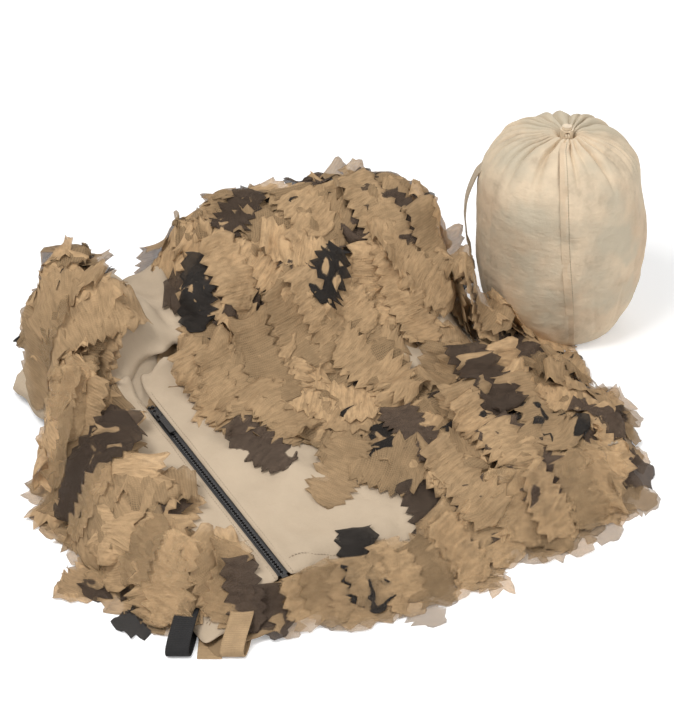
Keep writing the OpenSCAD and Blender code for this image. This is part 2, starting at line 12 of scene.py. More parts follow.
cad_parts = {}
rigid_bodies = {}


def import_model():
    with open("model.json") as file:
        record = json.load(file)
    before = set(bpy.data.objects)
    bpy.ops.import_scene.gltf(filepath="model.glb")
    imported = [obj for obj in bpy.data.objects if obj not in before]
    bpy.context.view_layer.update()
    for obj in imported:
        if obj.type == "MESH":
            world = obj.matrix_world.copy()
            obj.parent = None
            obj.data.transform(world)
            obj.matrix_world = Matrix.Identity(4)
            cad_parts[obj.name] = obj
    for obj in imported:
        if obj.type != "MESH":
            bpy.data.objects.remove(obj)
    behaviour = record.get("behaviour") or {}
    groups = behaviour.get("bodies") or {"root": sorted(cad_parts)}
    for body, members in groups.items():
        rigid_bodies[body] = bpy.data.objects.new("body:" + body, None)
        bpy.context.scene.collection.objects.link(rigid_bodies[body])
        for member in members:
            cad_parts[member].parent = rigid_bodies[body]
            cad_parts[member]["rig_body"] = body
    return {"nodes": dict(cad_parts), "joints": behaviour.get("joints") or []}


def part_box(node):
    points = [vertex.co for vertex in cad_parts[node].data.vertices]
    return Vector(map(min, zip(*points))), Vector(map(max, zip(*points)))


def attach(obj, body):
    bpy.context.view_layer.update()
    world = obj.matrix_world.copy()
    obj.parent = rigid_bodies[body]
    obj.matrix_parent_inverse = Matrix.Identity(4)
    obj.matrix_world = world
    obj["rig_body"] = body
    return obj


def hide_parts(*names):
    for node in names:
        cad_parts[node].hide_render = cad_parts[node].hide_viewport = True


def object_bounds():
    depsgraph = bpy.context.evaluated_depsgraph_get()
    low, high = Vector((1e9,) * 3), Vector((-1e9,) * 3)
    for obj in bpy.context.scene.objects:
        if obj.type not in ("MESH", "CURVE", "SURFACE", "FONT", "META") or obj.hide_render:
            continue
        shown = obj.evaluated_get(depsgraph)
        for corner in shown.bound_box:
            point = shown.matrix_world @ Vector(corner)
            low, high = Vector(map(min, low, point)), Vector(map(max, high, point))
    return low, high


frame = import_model()
CAD_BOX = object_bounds()

bl_info = {
    "name": "Leaf-strip ghillie suit",
    "version": (1, 0, 0),
    "blender": (4, 5, 0),
    "location": "3D View > Sidebar > Ghillie",
    "description": "Lays a folded leaf-strip suit and its stuff sack over their CAD frame",
    "category": "Object",
}

NODES = frame["nodes"]
JOINTS = {joint["name"]: joint for joint in frame["joints"]}

# The folded jacket's front: across the zip, up along it, and out of the cloth
ACROSS = Vector(JOINTS["zip_pull_swing"]["axis"]).normalized()
ALONG = -Vector(JOINTS["zip_slide"]["axis"]).normalized()
OUT = ACROSS.cross(ALONG)
ZIP_FOOT = Vector((-0.0553, -0.2987, 0.0200))
TURN = math.atan2(ACROSS.y, ACROSS.x)
# Thickness of the folded front, and how far it stays plane along the zip
FRONT_T = 0.020
FRONT_REACH = (-0.02, 0.335)
# Half the width of the zip's tapes with the room beside them
TAPE_HALF = 0.012
# Where the trousers are folded: their foot across and along the zip, and their turn on the floor
TROUSERS_FOOT = (0.216, 0.396)
TROUSERS_TURN = 0.3142
# The place on the floor that the camera and the lamps are aimed at
HEAP_MIDDLE = Vector((-0.0023, 0.1713, 0.0))
# A full turn for random phases
FULL_TURN = 6.28


def on_zip(x, y, z):
    """A point given across the zip, up along it and out of the front, in metres."""
    return ZIP_FOOT + ACROSS * x + ALONG * y + OUT * z


def plan(x, y, turn=TURN, foot=ZIP_FOOT):
    """Ground place of points given across the zip and along it."""
    c, s = math.cos(turn), math.sin(turn)
    return foot.x + x * c - y * s, foot.y + x * s + y * c


def from_plan(x, y):
    """Across and along the zip, from places on the ground."""
    c, s = math.cos(TURN), math.sin(TURN)
    dx, dy = x - ZIP_FOOT.x, y - ZIP_FOOT.y
    return dx * c + dy * s, -dx * s + dy * c


def front_height(y, rise):
    """Height above the floor at a place along the zip, at a rise above the front's plane."""
    return ZIP_FOOT.z + rise / OUT.z + np.clip(y, *FRONT_REACH) * ALONG.z / math.hypot(ALONG.x, ALONG.y)


# ---- sizes and colours a user would change ----


class GHILLIE_PG_cloth(PropertyGroup):
    cream: FloatVectorProperty(name="Cream cloth", description="Colour of the suit's base cloth",
                               subtype="COLOR", size=3, default=(0.480, 0.380, 0.272), min=0, max=1)
    tan: FloatVectorProperty(name="Tan mesh", description="Colour of the tan leaf strips",
                             subtype="COLOR", size=3, default=(0.520, 0.350, 0.192), min=0, max=1)
    brown: FloatVectorProperty(name="Brown mesh", description="Colour of the brown leaf strips",
                               subtype="COLOR", size=3, default=(0.092, 0.064, 0.046), min=0, max=1)
    black: FloatVectorProperty(name="Black mesh", description="Colour of the black leaf strips",
                               subtype="COLOR", size=3, default=(0.028, 0.024, 0.021), min=0, max=1)
    fold_height: FloatProperty(name="Fold height", description="Height of the garment's soft folds",
                               default=0.012, min=0.0, max=0.03, unit="LENGTH")
    cell: FloatProperty(name="Cloth cell", description="Spacing of the garment cloth's grid",
                        default=0.009, min=0.005, max=0.02, unit="LENGTH")


class GHILLIE_PG_strips(PropertyGroup):
    width: FloatProperty(name="Width", description="Width of a leaf strip", default=0.055,
                         min=0.03, max=0.07, unit="LENGTH")
    length: FloatProperty(name="Length", description="Mean length of a leaf strip's loose part",
                          default=0.118, min=0.06, max=0.18, unit="LENGTH")
    tooth: FloatProperty(name="Tooth pitch", description="Distance between a strip's teeth",
                         default=0.012, min=0.008, max=0.02, unit="LENGTH")
    tooth_depth: FloatProperty(name="Tooth depth", description="Depth of the cut between two teeth",
                               default=0.0075, min=0.004, max=0.012, unit="LENGTH")
    thickness: FloatProperty(name="Mesh thickness", description="Thickness of the strips' mesh",
                             default=0.0004, min=0.0002, max=0.001, unit="LENGTH")
    layers: IntProperty(name="Layers", description="Layers of strips dropped on the heap",
                        default=8, min=3, max=14)
    seed: IntProperty(name="Seed", description="Seed of the strips' scatter", default=11)


class GHILLIE_PG_sack(PropertyGroup):
    cloth: FloatVectorProperty(name="Sack cloth", description="Colour of the stuff sack",
                               subtype="COLOR", size=3, default=(0.670, 0.540, 0.385), min=0, max=1)
    pleats: IntProperty(name="Pleats", description="Gathers round the sack's mouth", default=26,
                        min=12, max=40)
    lean: FloatProperty(name="Lean", description="How far the sack's top leans to the left",
                        default=0.010, min=0.0, max=0.02, unit="LENGTH")


# ---- the heap's surface, which each laid piece raises ----


class Ground:
    """Heights of whatever lies on the floor so far, on a square grid."""

    STEP = 0.004
    LOW = -0.46
    COUNT = 231

    def __init__(self, height):
        self.height = height
        self.slopes()

    def slopes(self):
        """Keep the surface's slope beside its height."""
        self.along_y, self.along_x = np.gradient(self.height, self.STEP)

    def places(self):
        """The x and y of every cell."""
        line = self.LOW + self.STEP * np.arange(self.COUNT)
        return np.meshgrid(line, line)

    def cell(self, x, y):
        """Row and column of a place, as fractions inside the grid."""
        top = self.COUNT - 1.001
        return tuple(np.clip((place - self.LOW) / self.STEP, 0, top) for place in (y, x))

    def at(self, x, y):
        """Height and slope at places on the ground."""
        row, col = self.cell(x, y)
        i, j = row.astype(int), col.astype(int)
        a, b = row - i, col - j
        h = self.height
        z = (h[i, j] * (1 - a) * (1 - b) + h[i + 1, j] * a * (1 - b)
             + h[i, j + 1] * (1 - a) * b + h[i + 1, j + 1] * a * b)
        return z, self.along_x[i, j], self.along_y[i, j]

    def lay(self, pieces, soften=0.35):
        """Raise the surface to the pieces lying on it."""
        before = self.height.copy()
        for grid in pieces:
            fine = refine(grid, 5)
            row, col = self.cell(fine[..., 0], fine[..., 1])
            cells = np.rint(row).astype(int), np.rint(col).astype(int)
            np.maximum.at(self.height, cells, fine[..., 2])
        self.height = np.maximum(before, (1 - soften) * self.height + soften * blur(self.height, 1.0))
        self.slopes()


def blur(field, cells):
    """Smooth a grid of heights."""
    reach = int(3 * cells) + 1
    weight = np.exp(-0.5 * (np.arange(-reach, reach + 1) / cells) ** 2)
    weight /= weight.sum()
    for axis in (0, 1):
        margins = [(reach, reach) if a == axis else (0, 0) for a in (0, 1)]
        padded = np.pad(field, margins, mode="edge")
        field = np.apply_along_axis(lambda line: np.convolve(line, weight, mode="valid"), axis, padded)
    return field


def smoothstep(low, high, value):
    """0 below low, 1 above high, and a soft rise between."""
    t = np.clip((value - low) / (high - low), 0, 1)
    return t * t * (3 - 2 * t)


def spline_weights(where, count):
    """Weights that read a smooth line through evenly spaced points at places from 0 to 1."""
    where = np.asarray(where, float)
    u = np.clip(where, 0, 1) * (count - 1)
    i = np.clip(u.astype(int), 0, count - 2)
    f = (u - i)[..., None]
    f2, f3 = f * f, f * f * f
    parts = [-0.5 * f3 + f2 - 0.5 * f, 1.5 * f3 - 2.5 * f2 + 1, -1.5 * f3 + 2 * f2 + 0.5 * f,
             0.5 * f3 - 0.5 * f2]
    weights = np.zeros(where.shape + (count,))
    rows = np.eye(count)
    for offset, part in zip((-1, 0, 1, 2), parts):
        k = i + offset
        low, high = k < 0, k > count - 1
        inside = rows[np.clip(k, 0, count - 1)]
        first = 2 * rows[np.zeros_like(k)] - rows[np.ones_like(k)]
        last = 2 * rows[np.full_like(k, count - 1)] - rows[np.full_like(k, count - 2)]
        pick = np.where(low[..., None], first, np.where(high[..., None], last, inside))
        weights += part * pick
    return weights


def refine(grid, times):
    """One piece of cloth on a finer grid."""
    rows, cols = grid.shape[:2]
    down = spline_weights(np.linspace(0, 1, (rows - 1) * times + 1), rows)
    over = spline_weights(np.linspace(0, 1, (cols - 1) * times + 1), cols)
    return np.einsum("si,ijc,tj->stc", down, grid, over)


# ---- laying cloth ----

# Share of its speed that the cloth keeps in a step, and in the last steps, where it comes to rest
KEPT_SPEED = 0.95
LAST_SPEED = 0.6
LAST_STEPS = 15
# The furthest that a point moves by itself in one step, in metres
MOST_MOVE = 0.006
# How much of the grip holds a point back up and down
RISE_GRIP = 0.3
# Stiffness across the corners of a cell
CORNERS = 0.35


def pull(p, a, b, length, share):
    """Bring two sets of cloth points to the distance that the cloth between them allows."""
    gap = p[b] - p[a]
    far = np.sqrt((gap * gap).sum(-1, keepdims=True)) + 1e-9
    move = gap * (0.5 * share * (1 - length / far))
    p[a] += move
    p[b] -= move


def pairs(rows, cols, i, j):
    """Slices that join each point to the one i rows and j columns on, none twice in one set."""
    found = []
    step = max(i, abs(j))
    for phase in range(2 * step):
        if i:
            a_rows, b_rows = slice(phase, rows - i, 2 * i), slice(phase + i, rows, 2 * i)
            a_cols = slice(max(0, -j), cols - max(0, j))
            b_cols = slice(max(0, j), cols - max(0, -j))
        else:
            a_rows = b_rows = slice(0, rows)
            a_cols, b_cols = slice(phase, cols - j, 2 * j), slice(phase + j, cols, 2 * j)
        found.append(((slice(None), a_rows, a_cols), (slice(None), b_rows, b_cols)))
    return found


def settle(start, flat, ground, held, steps, bend, weight, thick=0.0006, grip=0.6, passes=5):
    """Let a batch of cloth grids fall on the ground. flat holds the grids before they were laid."""
    p = start.copy()
    last = start.copy()
    rows, cols = p.shape[1:3]
    links = []
    # Along the threads, across the cells' corners, and over two cells against folding
    reaches = ((1, 0, 1), (0, 1, 1), (1, 1, CORNERS), (1, -1, CORNERS), (2, 0, bend), (0, 2, bend))
    for i, j, share in reaches:
        if rows <= i or cols <= abs(j):
            continue
        for a, b in pairs(rows, cols, i, j):
            gap = flat[b] - flat[a]
            length = np.sqrt((gap * gap).sum(-1, keepdims=True))
            if length.size:
                links.append((a, b, length, share))
    for step in range(steps):
        move = (p - last) * (KEPT_SPEED if step < steps - LAST_STEPS else LAST_SPEED)
        move = np.clip(move, -MOST_MOVE, MOST_MOVE)
        last = p.copy()
        p = p + move
        p[..., 2] -= weight
        for _ in range(passes):
            for a, b, length, share in links:
                pull(p, a, b, length, share)
            p[held] = start[held]
        z, sx, sy = ground.at(p[..., 0], p[..., 1])
        deep = z + thick - p[..., 2]
        hit = deep > 0
        steep = 1 / (1 + sx * sx + sy * sy)
        push = np.where(hit, deep * steep, 0)
        p[..., 0] -= push * sx
        p[..., 1] -= push * sy
        p[..., 2] += push
        slid = p - last
        slow = np.where(hit, grip, 0)[..., None]
        slow = slow * np.array((1, 1, RISE_GRIP))
        p -= slid * slow
        p[held] = start[held]
    z = ground.at(p[..., 0], p[..., 1])[0]
    p[..., 2] = np.maximum(p[..., 2], z + thick)
    return p


# ---- mesh helpers ----


def new_object(name, bm, material, smooth=True):
    """A finished mesh object from a bmesh."""
    mesh = bpy.data.meshes.new(name)
    bm.to_mesh(mesh)
    bm.free()
    if smooth:
        mesh.polygons.foreach_set("use_smooth", [True] * len(mesh.polygons))
    obj = bpy.data.objects.new(name, mesh)
    bpy.context.scene.collection.objects.link(obj)
    for item in material if isinstance(material, (list, tuple)) else [material]:
        obj.data.materials.append(item)
    return obj


def thicken(obj, thickness, levels=0, offset=0.0):
    """Give a sheet its thickness, and round its folds."""
    if levels:
        soft = obj.modifiers.new("Round", "SUBSURF")
        soft.levels = soft.render_levels = levels
    shell = obj.modifiers.new("Thickness", "SOLIDIFY")
    shell.thickness = thickness
    shell.offset = offset
    shell.use_even_offset = False
    return obj


def lay_grid(bm, grid, uv_scale, tone=0.5, uv_offset=(0.0, 0.0)):
    """Add one cloth grid to a bmesh, with its own flat coordinates in metres."""
    rows, cols = grid.shape[:2]
    uv = bm.loops.layers.uv.verify()
    shade = bm.verts.layers.float.get("tone") or bm.verts.layers.float.new("tone")
    made = bmesh.ops.create_grid(bm, x_segments=cols - 1, y_segments=rows - 1, size=1.0)["verts"]
    flat = {}
    for v in made:
        t, s = (v.co.x + 1) / 2, (v.co.y + 1) / 2
        flat[v] = (t * uv_scale[0] + uv_offset[0], s * uv_scale[1] + uv_offset[1])
        v.co = grid[round(s * (rows - 1)), round(t * (cols - 1))]
        v[shade] = tone
    for face in {face for v in made for face in v.link_faces}:
        for loop in face.loops:
            loop[uv].uv = flat[loop.vert]
    return made


def ribbon(name, points, sides, width, thickness, material, bevel=0.0003):
    """A flat strap along points, each with the direction across it."""
    shares = (-0.5, -0.25, 0, 0.25, 0.5)
    grid = np.array([[Vector(p) + Vector(s).normalized() * width * t for t in shares]
                     for p, s in zip(points, sides)])
    length = sum((Vector(b) - Vector(a)).length for a, b in zip(points, points[1:]))
    bm = bmesh.new()
    lay_grid(bm, refine(grid, 3), (width, length))
    obj = new_object(name, bm, material)
    thicken(obj, thickness)
    edge = obj.modifiers.new("Edge", "BEVEL")
    edge.width = bevel
    edge.affect = "EDGES"
    edge.segments = 1
    edge.profile = 0.5
    edge.material = -1
    return obj, length


def stitches(name, points, pitch, material, body, size=(0.0007, 0.0020, 0.0005)):
    """A row of short stitches along a path."""
    bm = bmesh.new()
    path = [Vector(p) for p in points]
    along, next_one = 0.0, 0.0
    for a, b in zip(path, path[1:]):
        step = (b - a).length
        way = (b - a).normalized()
        while next_one <= along + step:
            made = bmesh.ops.create_cube(bm, size=1.0)["verts"]
            bmesh.ops.scale(bm, vec=size, verts=made)
            turn = way.to_track_quat("Y", "Z").to_matrix()
            bmesh.ops.rotate(bm, cent=(0, 0, 0), matrix=turn, verts=made)
            bmesh.ops.translate(bm, vec=a + way * (next_one - along), verts=made)
            next_one += pitch
        along += step
    obj = new_object(name, bm, material, smooth=False)
    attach(obj, body)
    return obj


# ---- materials ----


class Nodes:
    """Builds one material's nodes."""

    def __init__(self, name):
        self.material = bpy.data.materials.new(name)
        self.material.use_nodes = True
        self.tree = self.material.node_tree
        self.tree.nodes.clear()
        self.out = self.tree.nodes.new("ShaderNodeOutputMaterial")
        self.shader = self.tree.nodes.new("ShaderNodeBsdfPrincipled")
        self.link(self.shader.outputs["BSDF"], self.out.inputs["Surface"])
        self.where = self.tree.nodes.new("ShaderNodeTexCoord")
        self.dents = []

    def link(self, a, b):
        """Join an output to an input."""
        self.tree.links.new(a, b)

    def place(self, coords="UV", scale=(1, 1, 1), turn=0.0):
        """Coordinates of the pattern, scaled and turned."""
        mapping = self.tree.nodes.new("ShaderNodeMapping")
        mapping.inputs["Scale"].default_value = scale
        mapping.inputs["Rotation"].default_value = (0, 0, turn)
        self.link(self.where.outputs[coords], mapping.inputs["Vector"])
        return mapping.outputs["Vector"]

    def noise(self, vector, scale, detail=3.0, rough=0.55):
        """Cloudy noise, its scale in spots to the metre."""
        node = self.tree.nodes.new("ShaderNodeTexNoise")
        node.inputs["Scale"].default_value = scale
        node.inputs["Detail"].default_value = detail
        node.inputs["Roughness"].default_value = rough
        self.link(vector, node.inputs["Vector"])
        return node.outputs["Fac"]

    def threads(self, vector, pitch, direction="X", distort=0.0):
        """Even threads, one each pitch."""
        node = self.tree.nodes.new("ShaderNodeTexWave")
        node.wave_type = "BANDS"
        node.bands_direction = direction
        node.wave_profile = "SIN"
        node.inputs["Scale"].default_value = 0.314 / pitch
        node.inputs["Distortion"].default_value = distort
        self.link(vector, node.inputs["Vector"])
        return node.outputs["Fac"]

    def math(self, kind, a, b):
        """One sum on two values."""
        node = self.tree.nodes.new("ShaderNodeMath")
        node.operation = kind
        for socket, value in zip(node.inputs, (a, b)):
            if isinstance(value, (int, float)):
                socket.default_value = value
            else:
                self.link(value, socket)
        return node.outputs[0]

    def ramp(self, factor, stops):
        """Colours at places from 0 to 1."""
        node = self.tree.nodes.new("ShaderNodeValToRGB")
        ramp = node.color_ramp
        while len(ramp.elements) < len(stops):
            ramp.elements.new(0.5)
        for element, (where, colour) in zip(ramp.elements, stops):
            element.position = where
            element.color = (*colour[:3], 1)
        self.link(factor, node.inputs["Fac"])
        return node.outputs["Color"]

    def mix(self, factor, a, b):
        """Two colours mixed by a factor."""
        node = self.tree.nodes.new("ShaderNodeMix")
        node.data_type = "RGBA"
        node.blend_type = "MIX"
        for socket, value in ((node.inputs[0], factor), (node.inputs[6], a), (node.inputs[7], b)):
            if isinstance(value, (int, float)):
                socket.default_value = value
            elif isinstance(value, (tuple, list)):
                socket.default_value = (*value[:3], 1)
            else:
                self.link(value, socket)
        return node.outputs[2]

    def dent(self, height, depth, strength=1.0):
        """Add a bump on the ones before."""
        node = self.tree.nodes.new("ShaderNodeBump")
        node.inputs["Strength"].default_value = strength
        node.inputs["Distance"].default_value = depth
        self.link(height, node.inputs["Height"])
        if self.dents:
            self.link(self.dents[-1], node.inputs["Normal"])
        self.dents.append(node.outputs["Normal"])

    def finish(self, colour, roughness=0.8, metallic=0.0, alpha=1.0, sheen=0.0, specular=0.3, tint=None):
        """Set the surface itself, and give back the material."""
        self.link(colour, self.shader.inputs["Base Color"])
        if isinstance(roughness, (int, float)):
            self.shader.inputs["Roughness"].default_value = roughness
        else:
            self.link(roughness, self.shader.inputs["Roughness"])
        self.shader.inputs["Metallic"].default_value = metallic
        self.shader.inputs["Alpha"].default_value = alpha
        self.shader.inputs["Specular IOR Level"].default_value = specular
        self.shader.inputs["Sheen Weight"].default_value = sheen
        if sheen:
            self.shader.inputs["Sheen Roughness"].default_value = 0.5
            self.shader.inputs["Sheen Tint"].default_value = (*(tint or (1, 1, 1)), 1)
        if self.dents:
            self.link(self.dents[-1], self.shader.inputs["Normal"])
        return self.material


def shade(colour, factor):
    """A colour made darker or lighter."""
    return tuple(min(1.0, c * factor) for c in colour)


def mesh_cloth(name, colour, alpha):
    """Sheer leaf mesh: a fine net with crinkles, painted shade in their hollows, its tone a little
    different on each strip.
    """
    net_pitch = 0.0027
    n = Nodes(name)
    flat = n.place("UV")
    net = n.math("ADD", n.threads(flat, net_pitch, "X", 0.6), n.threads(flat, net_pitch, "Y", 0.6))
    crinkle = n.noise(n.place("UV", (0.28, 1, 1)), 230, 2)
    crumple = n.noise(flat, 75, 3)
    patch = n.noise(flat, 26, 3)
    tone = n.tree.nodes.new("ShaderNodeAttribute")
    tone.attribute_name = "tone"
    own_tone = n.math("MULTIPLY", tone.outputs["Fac"], 0.6)
    base = n.ramp(n.math("ADD", n.math("MULTIPLY", patch, 0.4), own_tone),
                  [(0.26, shade(colour, 0.50)), (0.5, shade(colour, 0.95)), (0.76, shade(colour, 1.45))])
    base = n.mix(n.math("MULTIPLY", net, 0.16), base, shade(colour, 1.5))
    # Darker in the crinkles' hollows: painted shade
    crinkle_painted_shade = n.ramp(crinkle, [(0.35, (0.5, 0.5, 0.5)), (0.62, (0, 0, 0))])
    base = n.mix(crinkle_painted_shade, base, shade(colour, 0.55))
    n.dent(crumple, 0.0045, 0.6)
    n.dent(crinkle, 0.0024, 0.9)
    n.dent(net, 0.0005, 0.6)
    return n.finish(base, 0.85, alpha=alpha, sheen=0.12, specular=0.15, tint=shade(colour, 1.6))


def plain_cloth(name, colour, coords="UV", pitch=0.0011, crease=0.0018):
    """Closely woven cloth with small creases, painted lighter where they rise."""
    n = Nodes(name)
    flat = n.place(coords)
    weave = n.math("MULTIPLY", n.threads(flat, pitch, "X", 0.4), n.threads(flat, pitch, "Y", 0.4))
    crumple = n.noise(flat, 42, 5, 0.6)
    patch = n.noise(flat, 9, 3)
    base = n.ramp(patch, [(0.25, shade(colour, 0.80)), (0.50, colour), (0.75, shade(colour, 1.12))])
    base = n.mix(n.math("MULTIPLY", weave, 0.18), base, shade(colour, 0.78))
    # Lighter where the crumples rise: painted light on the creases' tops
    base = n.mix(n.math("MULTIPLY", crumple, 0.2), base, shade(colour, 1.12))
    n.dent(crumple, crease, 0.7)
    n.dent(weave, 0.0002, 0.5)
    return n.finish(base, 0.82, sheen=0.1, specular=0.2, tint=colour)


def woven_band(name, colour, pitch=0.0022):
    """Ribbed webbing or tape."""
    n = Nodes(name)
    flat = n.place("UV")
    ribs = n.threads(flat, pitch, "Y", 0.3)
    cords = n.threads(flat, pitch * 1.6, "X", 0.2)
    wear = n.noise(flat, 60, 4)
    base = n.ramp(wear, [(0.3, shade(colour, 0.75)), (0.6, colour), (0.85, shade(colour, 1.3))])
    base = n.mix(n.math("MULTIPLY", ribs, 0.35), base, shade(colour, 0.6))
    n.dent(ribs, 0.0005, 0.8)
    n.dent(cords, 0.0003, 0.5)
    return n.finish(base, 0.7, sheen=0.08, specular=0.25, tint=colour)


def on_cad(name, colour, pitch=0.001, roughness=0.5, metallic=0.0, specular=0.4, grain=0.0002):
    """Finish of a CAD piece, which has no flat coordinates: fine threads or grain in its space."""
    n = Nodes(name)
    place = n.place("Object", turn=TURN)
    grain_fine = n.noise(place, 900, 3)
    streak = n.threads(n.place("Object", turn=-TURN), pitch, "Y", 1.0)
    wear = n.noise(place, 120, 3)
    base = n.ramp(wear, [(0.3, shade(colour, 0.8)), (0.55, colour), (0.8, shade(colour, 1.25))])
    base = n.mix(n.math("MULTIPLY", streak, 0.25), base, shade(colour, 0.7))
    n.dent(streak, grain, 0.6)
    n.dent(grain_fine, grain, 0.4)
    rough = n.math("ADD", n.math("MULTIPLY", wear, 0.2), roughness - 0.1)
    return n.finish(base, rough, metallic=metallic, specular=specular)


# ---- what is laid so far, shared by the operators ----


class Laid:
    """The surface and the pieces that later pieces lie on."""

    ground = None
    finishes = {}
    strips = []


def finish_of(slot):
    """The material of a record slot, made once."""
    look = bpy.context.scene.ghillie_cloth
    sack = bpy.context.scene.ghillie_sack
    seam = tuple(c * worn for c, worn in zip(sack.cloth, (0.97, 0.93, 0.90)))
    makers = {
        "cream_cloth": lambda: plain_cloth("cream_cloth", look.cream, crease=0.0032),
        "dark_cloth": lambda: plain_cloth("dark_cloth", look.brown, crease=0.0025),
        # The lining is the tan darkened to 0.55: painted shade, so the gaps between the strips read dark
        "lining_painted_shade": lambda: plain_cloth("lining_painted_shade", shade(look.tan, 0.55), crease=0.003),
        "tan_mesh": lambda: mesh_cloth("tan_mesh", look.tan, 0.60),
        "brown_mesh": lambda: mesh_cloth("brown_mesh", look.brown, 0.64),
        "black_mesh": lambda: mesh_cloth("black_mesh", look.black, 0.72),
        "pale_mesh": lambda: mesh_cloth("pale_mesh", look.tan, 0.38),
        "elastic": lambda: woven_band("elastic", shade(look.cream, 0.9), 0.003),
        "zip_tape": lambda: on_cad("zip_tape", (0.030, 0.028, 0.027), 0.0012, 0.75),
        "zip_coil": lambda: on_cad("zip_coil", (0.012, 0.011, 0.011), 0.0025, 0.35, specular=0.5),
        "zip_metal": lambda: on_cad("zip_metal", (0.045, 0.042, 0.040), 0.003, 0.35, 0.8, 0.5),
        "tan_webbing": lambda: woven_band("tan_webbing", shade(look.tan, 0.85)),
        "black_webbing": lambda: woven_band("black_webbing", (0.018, 0.017, 0.017)),
        "sack_cloth": lambda: sack_cloth("sack_cloth", sack.cloth),
        "sack_seam": lambda: sack_cloth("sack_seam", seam),
        "strap_band": lambda: woven_band("strap_band", shade(sack.cloth, 0.78)),
        "thread": lambda: woven_band("thread", shade(sack.cloth, 0.42), 0.0008),
        "hem_thread": lambda: woven_band("hem_thread", shade(look.cream, 0.72), 0.0008),
        "drawcord": lambda: woven_band("drawcord", shade(sack.cloth, 1.05), 0.0016),
        "lock_plastic": lambda: on_cad("lock_plastic", shade(sack.cloth, 1.05), 0.004, 0.4, grain=0.0001),
        "spring_steel": lambda: on_cad("spring_steel", (0.55, 0.55, 0.56), 0.002, 0.3, 1.0, 0.5),
    }
    if slot not in Laid.finishes:
        Laid.finishes[slot] = makers[slot]()
    return Laid.finishes[slot]


def dress(node, slot):
    """Give a carried-over CAD node its finish."""
    data = NODES[node].data
    data.materials.clear()
    data.materials.append(finish_of(slot))


def sack_cloth(name, colour):
    """Thin stuff-sack cloth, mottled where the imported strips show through."""
    n = Nodes(name)
    place = n.place("Object")
    mottle = n.noise(place, 24, 4, 0.6)
    streak = n.noise(n.place("Object", (0.7, 0.7, 1.3), 0.5), 55, 5, 0.62)
    weave = n.math("MULTIPLY", n.threads(place, 0.0013, "X", 0.3), n.threads(place, 0.0013, "Z", 0.3))
    base = n.ramp(mottle, [(0.30, shade(colour, 0.66)), (0.43, shade(colour, 0.90)), (0.56, colour),
                           (0.72, shade(colour, 1.08))])
    # Where warm and grey strips show through the cloth
    warm = (colour[0] * 0.86, colour[1] * 0.76, colour[2] * 0.70)
    warm_spots = n.noise(n.place("Object", (1, 1, 1), 0.3), 11, 3)
    base = n.mix(n.ramp(warm_spots, [(0.47, (0, 0, 0)), (0.68, (0.6, 0.6, 0.6))]), base, warm)
    grey = (colour[0] * 0.76, colour[1] * 0.82, colour[2] * 0.86)
    grey_spots = n.noise(place, 15, 3)
    base = n.mix(n.ramp(grey_spots, [(0.44, (0, 0, 0)), (0.62, (0.9, 0.9, 0.9))]), base, grey)
    base = n.mix(n.math("MULTIPLY", weave, 0.12), base, shade(colour, 0.8))
    n.dent(streak, 0.004, 0.6)
    n.dent(weave, 0.0002, 0.4)
    return n.finish(base, 0.75, sheen=0.15, specular=0.25, tint=colour)


# ---- operators ----


